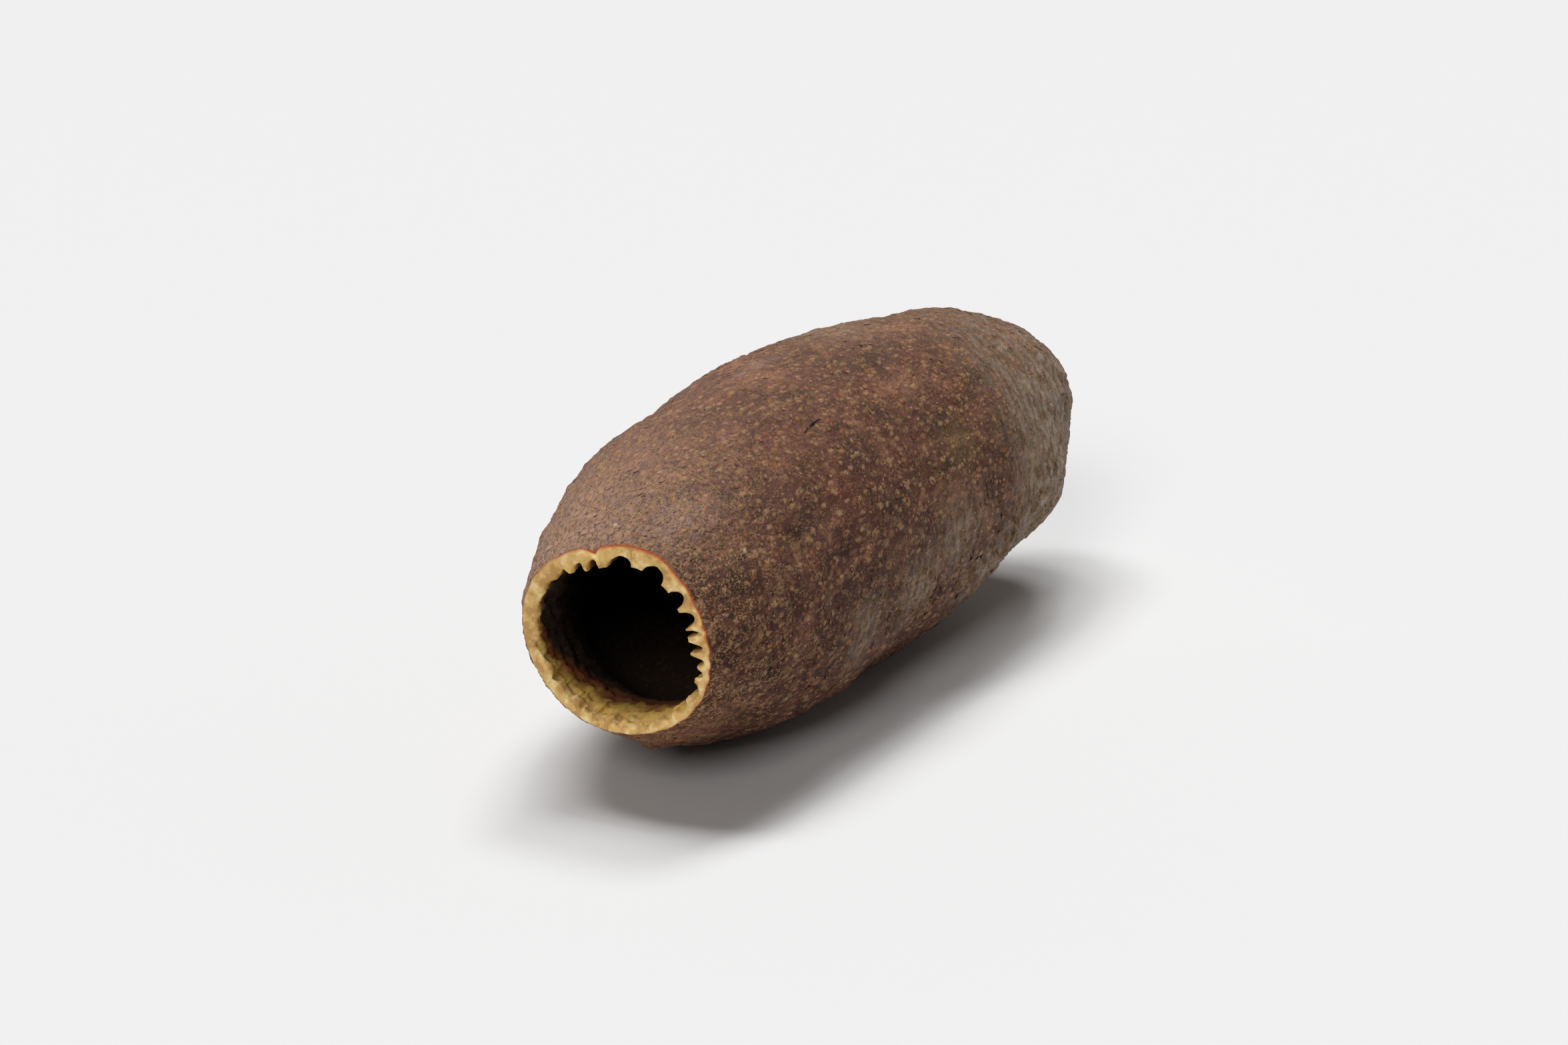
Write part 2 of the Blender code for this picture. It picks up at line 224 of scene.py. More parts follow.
# %% Ridges, bays, the chip and the wall's thickness
# Each ridge: angle, half the width of its crest in degrees, and height in millimetres.
RIDGES = (
    (8, 2.0, 1.10), (15, 0.9, 1.05), (29, 1.8, 1.05), (47, 3.8, 0.95), (73, 4.6, 0.85),
    (102, 3.6, 0.85), (118, 1.0, 0.90), (130, 1.8, 0.50), (145, 2.4, 0.24), (158, 1.6, 0.16),
    (171, 1.4, 0.18), (184, 1.8, 0.14), (197, 1.3, 0.18), (210, 1.8, 0.26), (222, 1.4, 0.22),
    (236, 1.8, 0.32), (250, 1.4, 0.20), (262, 1.6, 0.26), (274, 1.4, 0.20), (286, 1.8, 0.26),
    (299, 1.5, 0.30), (313, 1.6, 0.45), (327, 1.2, 0.50), (341, 1.6, 0.50), (350, 0.9, 0.45),
    (358, 1.0, 1.10),
)
BAY_ROUNDNESS = 0.5

RIM_WALL = 1.05 * MM
THICK_SIDE_ANGLE = 105
THICK_SIDE_EXTRA = 0.33
SEAT_DEPTH = 5.0 * MM
RIDGE_ENDS = (0.7, 1.3)
RIM_FACE_DROP = 0.45 * MM
RIDGE_FACE_RISE = 0.35 * MM
BODY_WALL = 2.6 * MM
BUTT_WALL = 5.0 * MM
CAVITY_OPENS_BY = 22 * MM

EDGE_SWELL = 0.13 * MM
# Where the edge swells most, in degrees, then the swing, middle and least of its share.
EDGE_SWELL_SIDE = (40, 0.6, 0.6, 0.2)
EDGE_WAVE = 0.18 * MM
EDGE_WAVES = 3
EDGE_WAVE_PHASE = 57
EDGE_BLEND = 1.2 * MM

# Each chip: angle, depth, and reach in degrees.
CHIPS = ((108, 0.80 * MM, 4.5), (92, 0.35 * MM, 12.0))
CHIP_NOTCH = 0.5


def flutes(angle):
    """(height of the ridge, depth into the bay from 0 to 1) at each angle."""
    degrees = np.degrees(angle) % 360
    ridge = np.zeros_like(angle)
    swell = np.zeros_like(angle)
    for (at, half, height), (after, after_half, after_height) in zip(RIDGES, RIDGES[1:] + RIDGES[:1]):
        crest = np.abs((degrees - at + 180) % 360 - 180) <= half
        ridge[crest] = height * MM
        width = (after - after_half - at - half) % 360
        share = ((degrees - at - half) % 360) / width
        bay = (share > 0) & (share < 1)
        depth = np.sin(np.pi * share[bay])
        level = height * MM * (1 - share[bay]) + after_height * MM * share[bay]
        ridge[bay] = level * (1 - depth**BAY_ROUNDNESS)
        swell[bay] = depth
    return ridge, swell


def chip_depth(angle):
    """Depth of the chip and of the worn stretch beside it."""
    total = 0.0
    for at, depth, reach in CHIPS:
        away = np.degrees(angle_between(angle, math.radians(at))) / reach
        total = total + depth * np.exp(-(away**2))
    return total


def edge_radius(angle, swell):
    """Radius of the mouth's outer edge before it was chipped. It swells most on one side."""
    calm = facing(angle, *EDGE_SWELL_SIDE)
    return skin_radius(0.0, angle) + EDGE_SWELL * calm * (swell - 0.5)


def edge_y(angle):
    """How far the mouth's outer edge lies behind the plane of the mouth."""
    wave = np.cos(EDGE_WAVES * angle + math.radians(EDGE_WAVE_PHASE))
    return EDGE_WAVE * wave + CHIP_NOTCH * chip_depth(angle)


def seat_wall(angle, ridge, depth, length):
    """Wall thickness in the fluted seat. length is how long each flute is, as a share of the seat's depth."""
    side = 1 + THICK_SIDE_EXTRA * np.cos(angle - math.radians(THICK_SIDE_ANGLE))
    start, end = RIDGE_ENDS
    gone = np.clip((depth / (SEAT_DEPTH * length) - start) / (end - start), 0, 1)
    return RIM_WALL * side + ridge * (1 - gone)


def hollow_radius(t, angle):
    """Radius of the hollow at a share t of its own length: the barrel less its wall."""
    radius = barrel_radius(t)
    wall = BODY_WALL * np.minimum(1.0, radius / (BELLY_RADIUS - BODY_WALL))
    return (radius - wall) * out_of_round(t, angle)


print(len(RIDGES), "ridges round the mouth")

# %% [markdown]
# Rings into one closed skin
#
# The case is built as a stack of rings that runs from the stalk scar along the bark to the mouth,
# over the rim and back down the hollow. Rings are close together where the shape is busy and carry
# twice as many points at the mouth, where the flutes are narrow. A closed skin like this can be cut,
# printed or weighed, and it has no seam at the edge between bark and wood. Each point also keeps
# how far it lies from the mouth's edge, because the finishes need to know it.

# %% Where the rings lie
RIM_POINTS = 624
BODY_POINTS = 312
END_POINTS = 156

# Radii of the rings on the blunt end, in millimetres: the finest, then even steps.
TIP_RADII = (0.35, 0.8, 1.3, 1.8, 2.3, 2.8, 3.3, 3.9, 4.5, 5.2)
TIP_FINE_RADIUS = 6.0
TIP_RADIUS = 15.0
TIP_STEP = 0.5
# Distances behind the mouth's edge on the outside, in millimetres.
BODY_STEP = 0.44
BODY_START = 2.6
LIP_STEPS = (0.0, 0.08, 0.2, 0.4, 0.7, 1.1, 1.6, 2.2)
# Shares of the way over the rim's face, then depths and radii in the hollow, in millimetres.
FACE_STEPS = (0.12, 0.3, 0.5, 0.7, 0.86, 0.96)
SEAT_STEPS = (0.12, 0.3, 0.6, 0.95, 1.3, 1.7, 2.1, 2.5, 2.9, 3.3, 3.7, 4.1, 4.5, 4.9, 5.3, 5.7, 6.1, 6.5, 7.0)
THROAT_STEPS = (7.6, 8.3, 9.0, 9.8, 10.6, 11.5, 12.5, 13.6, 14.8)
HOLLOW_STEPS = tuple(range(17, 72, 3))
HOLLOW_END_RADII = (14.2, 13.4, 12.4, 11.0, 9.4, 7.6, 5.6, 3.6, 1.8)
FACE_DOME = 0.16 * MM

# How much the length of the flutes varies round the mouth.
RAGGED_SEED = 8
RAGGED_SHARE = 0.16
RAGGED_WAVES = 7
RAGGED_LOBES = (3, 24)

print("points in a ring at the rim, the body and the ends:", RIM_POINTS, BODY_POINTS, END_POINTS)


def ragged(angle):
    """Length of the flutes as a share of the seat's depth, uneven round the mouth."""
    draw = random.Random(RAGGED_SEED)
    total = 0.0
    for _ in range(RAGGED_WAVES):
        total = total + np.cos(draw.randint(*RAGGED_LOBES) * angle + draw.uniform(0, 2 * np.pi))
    return 1 + RAGGED_SHARE * total / math.sqrt(RAGGED_WAVES)


def columns(count):
    """Evenly spaced angles round the pod."""
    return np.arange(count) * 2 * np.pi / count


def lip_ring(y, angle):
    """A ring of the bark close to the mouth's edge."""
    _, swell = flutes(angle)
    fade = math.exp(-y / EDGE_BLEND)
    out = (edge_radius(angle, swell) - chip_depth(angle) - skin_radius(0.0, angle)) * fade
    t = y / LENGTH
    return on_ring(t, skin_radius(t, angle) + out, angle, y + edge_y(angle) * fade)


def bark_ring(t, angle):
    """A ring of the bark anywhere behind the lip."""
    radius = skin_radius(t, angle)
    y = t * LENGTH + (scar_offset(radius) if t > BELLY_AT else 0.0)
    return on_ring(t, radius, angle, y)


def seat_ring(depth, share, angle):
    """A ring of the rim's face (share below 1) or of the fluted wall under it (share 1)."""
    ridge, swell = flutes(angle)
    wall = seat_wall(angle, ridge, depth, ragged(angle))
    inward = wall * share + chip_depth(angle) * (1 - share)
    dome = FACE_DOME * math.sin(math.pi * share)
    face = share * (RIM_FACE_DROP - RIDGE_FACE_RISE * ridge / MM) - dome
    y = depth + edge_y(angle) * (1 - share) + face
    return on_ring(depth / LENGTH, edge_radius(angle, swell) - inward, angle, y)


def hollow_ring(y, angle):
    """A ring of the hollow behind the seat."""
    opened = smooth_step(SEAT_DEPTH, CAVITY_OPENS_BY, y)
    seat = edge_radius(angle, 0.0) - seat_wall(angle, 0.0, y, 1.0)
    inner = hollow_radius(np.float64(y / (LENGTH - BUTT_WALL)), angle)
    return on_ring(y / LENGTH, seat + (inner - seat) * opened, angle, y)

# %% Stack the rings
def all_rings():
    """(points, distance inwards from the mouth's edge, angles) of each ring, from the tip inwards."""
    end, body, rim = columns(END_POINTS), columns(BODY_POINTS), columns(RIM_POINTS)
    bark = [(share_at_radius(radius * MM), end) for radius in TIP_RADII]
    steps = np.arange(TIP_FINE_RADIUS, TIP_RADIUS, TIP_STEP)
    bark += [(share_at_radius(radius * MM), body) for radius in steps]
    start = bark[-1][0] * LENGTH / MM - BODY_STEP
    bark += [(y * MM / LENGTH, body) for y in np.arange(start, BODY_START, -BODY_STEP)]
    made = [(bark_ring(t, angle), -t * LENGTH, angle) for t, angle in bark]
    made += [(lip_ring(y * MM, rim), -y * MM, rim) for y in reversed(LIP_STEPS)]
    made += [(seat_ring(0.0, share, rim), share * RIM_WALL, rim) for share in FACE_STEPS]
    made += [(seat_ring(y * MM, 1.0, rim), RIM_WALL + y * MM, rim) for y in SEAT_STEPS]
    made += [(hollow_ring(y * MM, body), RIM_WALL + y * MM, body) for y in THROAT_STEPS]
    made += [(hollow_ring(y * MM, end), RIM_WALL + y * MM, end) for y in HOLLOW_STEPS]
    depths = [(LENGTH - BUTT_WALL) * share_at_radius(radius * MM) for radius in HOLLOW_END_RADII]
    made += [(hollow_ring(y, end), RIM_WALL + y, end) for y in depths if y > HOLLOW_STEPS[-1] * MM]
    return made


def joining_faces(first, first_count, second, second_count):
    """Faces between two rings that start at these points. One ring may have twice the points."""
    if first_count == second_count:
        i = np.arange(first_count)
        k = (i + 1) % first_count
        return [tuple(f) for f in np.stack([first + i, first + k, second + k, second + i], -1).tolist()]
    many, few = (first, second) if first_count > second_count else (second, first)
    half = min(first_count, second_count)
    faces = []
    for i in range(half):
        a, b, c = (many + (2 * i + j) % (2 * half) for j in range(3))
        d, e = few + i, few + (i + 1) % half
        faces += [(a, b, d), (b, e, d), (b, c, e)]
    return faces if first_count > second_count else [(p, r, q) for p, q, r in faces]


def build_case():
    """The whole case: its points, its faces, and each point's distance from the edge and angle."""
    inner_end = LENGTH - BUTT_WALL
    tip_x, tip_z = centre_line(1.0)
    end_x, end_z = centre_line(inner_end / LENGTH)
    tip = np.array([[tip_x, LENGTH + scar_offset(0.0), tip_z]])
    end = np.array([[end_x, inner_end, end_z]])
    rings = [(tip, -LENGTH, np.zeros(1))] + all_rings() + [(end, RIM_WALL + inner_end, np.zeros(1))]
    points, runs, angles = zip(*rings)
    counts = [len(ring) for ring in points]
    starts = np.cumsum([0] + counts).tolist()
    faces = [(0, starts[1] + (i + 1) % counts[1], starts[1] + i) for i in range(counts[1])]
    for r in range(1, len(rings) - 2):
        faces += joining_faces(starts[r], counts[r], starts[r + 1], counts[r + 1])
    last, count = starts[-3], counts[-2]
    faces += [(last + i, last + (i + 1) % count, starts[-2]) for i in range(count)]
    inward = [np.full(len(ring), run) for ring, run in zip(points, runs)]
    return np.concatenate(points), faces, np.concatenate(inward), np.concatenate(angles)


points, faces, inward, angles = build_case()
print(len(points), "points and", len(faces), "faces in the case")

# %% [markdown]
# Where each mark is
#
# Some finishes keep to one place: the grey bloom on the blunt end, ruddy patches where the outer
# layer has rubbed off, the worn neck. They are worked out here as soft masks from 0 to 1, one number
# for each point of the skin, and kept on the mesh as attributes. Both the relief and the materials
# can read them, so a mark is in the same place for both.

# %% Masks on the bark
# Each spot: share of the length, angle, reach along and round in millimetres, and strength.
ASH_SPOTS = (
    (0.53, 358, 5, 4, 0.7), (0.634, 333, 6, 5, 0.9), (0.439, 346, 4.5, 4, 0.7),
    (0.322, 339, 4, 3.5, 0.6), (0.60, 100, 7, 5, 0.5), (0.52, 205, 7, 6, 0.7),
    (0.30, 235, 5, 5, 0.6),
)
SPOTS = {
    "ruddy": (
        (0.256, 61, 2.6, 2.2, 1), (0.223, 54, 2.2, 2, 0.8), (0.293, 38, 2.8, 2.4, 1),
        (0.306, 27, 2.2, 2, 0.8), (0.45, 60, 3, 2.4, 0.6), (0.37, 150, 4, 3, 0.9),
        (0.58, 250, 4, 3, 0.8), (0.27, 290, 3, 2.4, 0.6)),
    "sheen": (
        (0.062, 66, 2.6, 1.9, 1), (0.030, 66, 1.8, 1.5, 0.9), (0.085, 59, 2.2, 1.2, 0.8),
        (0.386, 93.5, 6, 0.8, 0.7)),
    "olive": ((0.562, 30, 4, 3, 1), (0.70, 140, 5, 4, 0.9)),
    "tanned": ((0.05, 284, 6, 7, 1), (0.10, 255, 5, 5, 0.7)),
    "wrinkled": ((0.23, 337, 10, 7, 1), (0.30, 215, 12, 7, 0.8)),
    "crinkled": (
        (0.45, 340, 12, 7, 0.8), (0.62, 340, 10, 8, 1), (0.78, 345, 9, 9, 1),
        (0.86, 30, 8, 9, 0.8), (0.75, 200, 12, 9, 0.9), (0.50, 240, 12, 7, 0.8)),
}
ASH_FROM = 0.61
ASH_FULL = 0.78
# Each side: its angle, then the swing, the middle and, for one, the least of its mask.
ASH_SIDE = (-15, 0.65, 0.36)
# Painted light: the upper left side of the bark is painted lighter.
PAINTED_LIGHT_SIDE = (135, 0.5, 0.5)
LUMPY_SIDE = (50, -0.75, 0.55, 0.15)
LIT_SIDE = (60, 0.6, 0.5)
WORN_NECK_REACH = 0.16
SCAR_FROM = 3.8 * MM
SCAR_FULL = 1.6 * MM
SCAR_BEHIND = 0.9
# Painted shade in the hollow: soon behind the rim at the top, much further in at the bottom.
SHADE_TOP = 0.22
SHADE_BOTTOM = 1.13
SHADE_POWER = 1.8


def spots(rows, t, angle, radius):
    """The strongest of several soft spots at each point."""
    total = np.zeros_like(t)
    for *row, strength in rows:
        total = np.maximum(total, strength * hill(t, angle, radius, *row))
    return total


def make_masks(inward, angle):
    """Every mask that the relief and the materials read."""
    t = np.clip(-inward / LENGTH, 0, 1)
    radius = np.maximum(barrel_radius(t), 1 * MM)
    bark = (inward <= 0).astype(float)
    bloom = smooth_step(ASH_FROM, ASH_FULL, t) * facing(angle, *ASH_SIDE)
    made = {label: spots(rows, t, angle, radius) * bark for label, rows in SPOTS.items()}
    made["bark"] = bark
    made["inward"] = inward
    made["ash"] = np.maximum(bloom, spots(ASH_SPOTS, t, angle, radius)) * bark
    made["worn"] = np.exp(-((t / WORN_NECK_REACH) ** 2)) * bark
    made["scar"] = smooth_step(SCAR_FROM, SCAR_FULL, barrel_radius(t)) * (t > SCAR_BEHIND)
    # Painted light: strongest on the upper left side, none on the lower right.
    made["painted_light_side"] = facing(angle, *PAINTED_LIGHT_SIDE) * bark
    # Painted shade in the hollow, reaching further in on the lower wall.
    faces_down = np.clip(-np.sin(angle), 0, 1) ** SHADE_POWER
    made["hollow_shade"] = np.maximum(inward - RIM_WALL, 0) / (SHADE_TOP + SHADE_BOTTOM * faces_down)
    made["lumpy"] = facing(angle, *LUMPY_SIDE)
    made["lit_edge"] = facing(angle, *LIT_SIDE)
    return made


masks = make_masks(inward, angles)
print("share of points under the ash bloom:", round(float((masks["ash"] > 0.5).mean()), 3))

# %% Lay the skin on the solid
FLAT_DEPTH = 0.45 * MM

skin = inward <= 0
low, high = points[skin].min(0), points[skin].max(0)
floor_z = low[2] + FLAT_DEPTH
place = np.array([-(low[0] + high[0]) / 2, -(low[1] + high[1]) / 2, -floor_z])
laid = points + place
laid[skin, 2] = np.maximum(laid[skin, 2], 0.0)
mouth_centre = Vector(place)
print("middle of the mouth in mm:", [round(v / MM, 2) for v in mouth_centre])


def placed(name, data):
    """A new object in the scene."""
    made = bpy.data.objects.new(name, data)
    bpy.context.scene.collection.objects.link(made)
    return made


def make_mesh(name, verts, polygons, attributes):
    """A smooth mesh that carries one number per point for each attribute."""
    mesh = bpy.data.meshes.new(name)
    mesh.from_pydata(verts.tolist(), [], polygons)
    mesh.update()
    mesh.shade_smooth()
    for label, values in attributes.items():
        mesh.attributes.new(label, "FLOAT", "POINT").data.foreach_set("value", values.astype(np.float32))
    return mesh


pod_case = placed("pod_case", make_mesh("pod_case", laid, faces, masks))
print("case:", len(pod_case.data.polygons), "faces")

# %% [markdown]
# Small helpers for node trees
#
# Geometry trees and shader trees are built from the same few moves: add a node, set a property,
# join a socket. Short helpers keep each tree readable as a list of steps. They add to one tree at
# a time, the one that work_on was last given.

# %% Helpers that add nodes
current_tree = None


def work_on(tree):
    """Send the nodes and links that the helpers make from now on to this tree."""
    global current_tree
    current_tree = tree
    return tree


def fill(sockets, values):
    """Link each socket whose value is an output, and set every other one."""
    for key, value in values.items():
        if isinstance(value, bpy.types.NodeSocket):
            current_tree.links.new(value, sockets[key])
        else:
            sockets[key].default_value = value


def add(kind, inputs=None, **settings):
    """Add a node with its settings and inputs, and return its outputs."""
    node = current_tree.nodes.new(kind)
    for name, value in settings.items():
        setattr(node, name, value)
    fill(node.inputs, inputs or {})
    return node.outputs


def maths(operation, a, b=0.0, c=0.0, clamp=False):
    """One Math node's result."""
    return add("ShaderNodeMath", {0: a, 1: b, 2: c}, operation=operation, use_clamp=clamp)[0]


def times(a, b):
    """One value times another."""
    return maths("MULTIPLY", a, b)


def times_plus(a, b, c):
    """A value times another, plus a third."""
    return maths("MULTIPLY_ADD", a, b, c)


def vector_maths(operation, a, b=(0, 0, 0), output="Vector"):
    """One Vector Math node's result."""
    return add("ShaderNodeVectorMath", {0: a, 1: b}, operation=operation)[output]


def scaled(vector, factor):
    """A vector times a number."""
    return add("ShaderNodeVectorMath", {0: vector, "Scale": factor}, operation="SCALE")[0]


def combined(x, y, z):
    """A vector from three numbers."""
    return add("ShaderNodeCombineXYZ", {"X": x, "Y": y, "Z": z})[0]


def noise_of(vector, per_metre, detail, roughness=0.5, output="Fac"):
    """Noise around 0.5 with so many lumps to the metre."""
    return add("ShaderNodeTexNoise", {
        "Vector": vector, "Scale": per_metre, "Detail": detail, "Roughness": roughness})[output]


def noise(vector, size, detail=2.0, roughness=0.5):
    """Noise around 0.5 whose lumps are about size metres across."""
    is_socket = isinstance(size, bpy.types.NodeSocket)
    return noise_of(vector, maths("DIVIDE", 1.0, size) if is_socket else 1 / size, detail, roughness)


def wander(vector, per_metre, detail, reach):
    """A small vector that changes from place to place, up to half the reach each way."""
    colour = noise_of(vector, per_metre, detail, output="Color")
    return scaled(vector_maths("SUBTRACT", colour, (0.5, 0.5, 0.5)), reach)


def remap(value, low, high, out_low=0.0, out_high=1.0, kind="SMOOTHSTEP"):
    """A value between low and high moved to another range and held there."""
    return add("ShaderNodeMapRange", {
        "Value": value, "From Min": low, "From Max": high, "To Min": out_low, "To Max": out_high},
        interpolation_type=kind)["Result"]


def new_group(kind, name, inputs, outputs):
    """A node group, what it is given and the sockets of its results. An input stands as its default,
    or as its kind of socket where it has none."""
    tree = work_on(bpy.data.node_groups.new(name, kind))
    kinds = {int: "Int", float: "Float", tuple: "Color"}
    for label, value in inputs.items():
        has_default = not isinstance(value, str)
        socket_type = "NodeSocket" + (kinds[type(value)] if has_default else value)
        socket = tree.interface.new_socket(label, in_out="INPUT", socket_type=socket_type)
        if has_default:
            socket.default_value = value
    for label, value in outputs.items():
        tree.interface.new_socket(label, in_out="OUTPUT", socket_type="NodeSocket" + value)
    return tree, add("NodeGroupInput"), current_tree.nodes.new("NodeGroupOutput").inputs


def new_geometry_tree(name, sizes):
    """A geometry tree with named number inputs."""
    tree, given, results = new_group(
        "GeometryNodeTree", name, {"Geometry": "Geometry", **sizes}, {"Geometry": "Geometry"})
    tree.is_modifier = True
    return tree, given, results


def shaped(kind, geometry, inputs=None, **settings):
    """Geometry after one more node."""
    return add("GeometryNode" + kind, {0: geometry, **(inputs or {})}, **settings)[0]


def attribute(name):
    """The value of a named attribute in a geometry tree."""
    return add("GeometryNodeInputNamedAttribute", {"Name": name}, data_type="FLOAT")[0]


def apply_tree(source, tree, sizes, name):
    """A new plain mesh: the source's evaluated mesh with the tree run on it."""
    modifier = source.modifiers.new(name, "NODES")
    modifier.node_group = tree
    for item in tree.interface.items_tree:
        if item.in_out == "INPUT" and item.name in sizes:
            modifier[item.identifier] = sizes[item.name]
    bpy.context.view_layer.update()
    evaluated = source.evaluated_get(bpy.context.evaluated_depsgraph_get())
    mesh = bpy.data.meshes.new_from_object(evaluated)
    mesh.name = name
    source.modifiers.remove(modifier)
    return mesh


def blank_material(name):
    """An empty node material and the inputs of its Principled shader."""
    material = bpy.data.materials.new(name)
    material.use_nodes = True
    return material, material.node_tree.nodes["Principled BSDF"].inputs


bark_material, bark_inputs = blank_material("pod_bark")
wood_material, wood_inputs = blank_material("pod_inner_wood")
cork_material, cork_inputs = blank_material("cork_flecks")
print("materials:", [m.name for m in (bark_material, wood_material, cork_material)])

# %% [markdown]
# Relief of the bark and the seat
#
# Bark isn't smooth: it has low swells, fine grit, slanting wrinkles and sharp folds where it dried,
# and crumbs on the worn neck. The rim's broken face is lumpy, and torn fibres run from it into the
# hollow. A bump map alone would leave the outline smooth, so a geometry tree moves the points
# along their normals. One tree does both sides of the wall and sets each side's material.

# %% The relief tree
RELIEF_IN_MM = {
    "Swell height": 0.24, "Swell size": 2.6, "Grit height": 0.13, "Grit size": 0.8,
    "Crumb height": 0.15, "Wrinkle height": 0.26, "Wrinkle size": 1.5, "Crinkle depth": 0.60,
    "Crinkle size": 3.2, "Lump height": 0.32, "Lump size": 1.3, "Calm lip": 1.6,
    "Fibre height": 0.08, "Fibre size": 0.42, "Face height": 0.56, "Face size": 1.4,
}
RELIEF = {label: value * MM for label, value in RELIEF_IN_MM.items()}
CRUMB_SIZE = 0.45 * MM
PATTERN_SQUASH = (1.0, 0.6, 1.0)
WRINKLE_STRETCH = (0.30, 1.0, 0.30)
WRINKLE_TURN = (0.5, 0.0, -0.6)
FOLD_SHARE = 0.55
FIBRE_STRETCH = (1.0, 0.22, 1.0)
SEAT_FADE = 0.8 * MM
FIBRES_FADE = (RIM_WALL + 9 * MM, RIM_WALL + 16 * MM)
FACE_FADE = (0.45 * RIM_WALL, 0.95 * RIM_WALL)
LIP_LEAST = 0.25

relief_tree, given, results = new_geometry_tree("pod_relief", RELIEF)
position = add("GeometryNodeInputPosition")[0]
normal = add("GeometryNodeInputNormal")[0]


def signed(value):
    """Noise around 0.5 turned into about 1 to -1."""
    return times_plus(value, -4.0, 2.0)


def bumps(space, size, detail=2.0, roughness=0.5):
    """Signed noise of a size that the tree is given."""
    return signed(noise(space, given[size], detail, roughness))


def layer(value, height, mask):
    """One layer of relief: a signed value times its height and its mask."""
    return times(times(value, given[height]), mask)


along_pod = vector_maths("MULTIPLY", position, PATTERN_SQUASH)
turned = add("ShaderNodeVectorRotate", {"Vector": position, "Rotation": WRINKLE_TURN},
             rotation_type="EULER_XYZ")[0]
wrinkle_space = vector_maths("MULTIPLY", turned, WRINKLE_STRETCH)
fibre_space = vector_maths("MULTIPLY", position, FIBRE_STRETCH)
on_bark = attribute("bark")
on_wood = maths("SUBTRACT", 1.0, on_bark)
deep = attribute("inward")
lumpy = attribute("lumpy")
in_seat = remap(deep, RIM_WALL, RIM_WALL + SEAT_FADE)
on_fibres = times(times(on_wood, in_seat), remap(deep, *FIBRES_FADE, 1.0, 0.25))
on_face = times(on_wood, maths("SUBTRACT", 1.0, in_seat))
on_face = times(on_face, remap(deep, *FACE_FADE, 1.0, lumpy))
lip_calm = remap(maths("ABSOLUTE", deep), 0.0, given["Calm lip"], LIP_LEAST, 1.0)

# Folds are narrow and sharp: they stand where the noise crosses its middle.
crinkle_noise = noise(wrinkle_space, times(given["Crinkle size"], FOLD_SHARE))
folds = remap(maths("ABSOLUTE", signed(crinkle_noise)), 0.0, 0.35, 1.0, 0.0)
print("nodes that say where the relief is:", len(relief_tree.nodes))

# %% Add up its layers and move the points
layers = (
    layer(bumps(along_pod, "Swell size", 3.0), "Swell height", on_bark),
    layer(bumps(along_pod, "Grit size", 3.0, 0.65), "Grit height", on_bark),
    layer(signed(noise(position, CRUMB_SIZE)), "Crumb height", attribute("worn")),
    layer(bumps(wrinkle_space, "Wrinkle size"), "Wrinkle height", attribute("wrinkled")),
    layer(folds, "Crinkle depth", attribute("crinkled")),
    layer(bumps(position, "Lump size"), "Lump height", times(on_wood, lumpy)),
    layer(bumps(fibre_space, "Fibre size", 3.0, 0.6), "Fibre height", on_fibres),
    layer(bumps(position, "Face size", 3.0, 0.55), "Face height", on_face),
)
total = layers[0]
for one in layers[1:]:
    total = maths("ADD", total, one)
moved = shaped("SetPosition", given["Geometry"], {"Offset": scaled(normal, times(total, lip_calm))})
# Nothing may sink into the floor that the pod lies on.
axes = add("ShaderNodeSeparateXYZ", {0: position})
above = maths("MAXIMUM", axes["Z"], 0.0)
held = shaped("SetPosition", moved, {"Position": combined(axes["X"], axes["Y"], above)})
barked = shaped("SetMaterial", shaped("RealizeInstances", held), {"Material": bark_material})
is_wood = add("FunctionNodeCompare", {0: deep, 1: 0.0}, data_type="FLOAT", operation="GREATER_THAN")[0]
wooded = shaped("SetMaterial", barked, {"Selection": is_wood, "Material": wood_material})
fill(results, {"Geometry": wooded})
print("layers of relief:", len(layers))

# %% Run the relief tree on the case
relief_mesh = apply_tree(pod_case, relief_tree, RELIEF, "pod_case_relief")
plain_mesh = pod_case.data
pod_case.data = relief_mesh
bpy.data.meshes.remove(plain_mesh)
relief_mesh.name = "pod_case"
shift = np.zeros(len(relief_mesh.vertices) * 3, np.float32)
relief_mesh.vertices.foreach_get("co", shift)
shift = np.linalg.norm(shift.reshape(-1, 3) - laid, axis=1) / MM
print("relief moves the points by up to", shift.max().round(2), "mm, mean", shift.mean().round(3))
print("materials on the case:", [m.name for m in relief_mesh.materials])

# %% [markdown]
# Corky flecks
#
# The bark breathes through small corky spots, and it sheds in little crusts. They stand a few
# hundredths of a millimetre proud, cluster in places, and no two are the same. Placing thousands by
# hand is out of the question, so a geometry tree scatters points over the bark, keeps them a set
# distance apart, and stands a low closed dome on each. Each dome remembers its tone and how far each
# of its points is from its rim, which lets the material blend its edge into the bark.

# %% The scatter tree
FLECKS = {
    "Spacing": 0.82 * MM,
    "Density": 3.0e6,
    "Smallest": 0.16 * MM,
    "Largest": 0.40 * MM,
    "Height": 0.045 * MM,
    "Sink": 0.02 * MM,
    "Cluster size": 5.0 * MM,
    "Unevenness": 0.10 * MM,
    "Seed": 11,
}
FLECK_SIDES = 9
BASE_EDGE_ANGLE = 1.5
LOWEST_FLECK = 0.9 * MM
LIP_KEPT_BARE = 0.9 * MM
SCAR_KEPT_BARE = 0.05
CLUSTER_EDGES = (0.36, 0.60)
BETWEEN_CLUSTERS = 0.25
ASH_THINS_BY = 0.75
FLECK_STRETCH = (0.9, 1.5)
FLECK_TURN = (-0.7, 0.7)
WANDER_SIZE = 0.55 * MM

fleck_tree, given, results = new_geometry_tree("pod_corky_flecks", FLECKS)


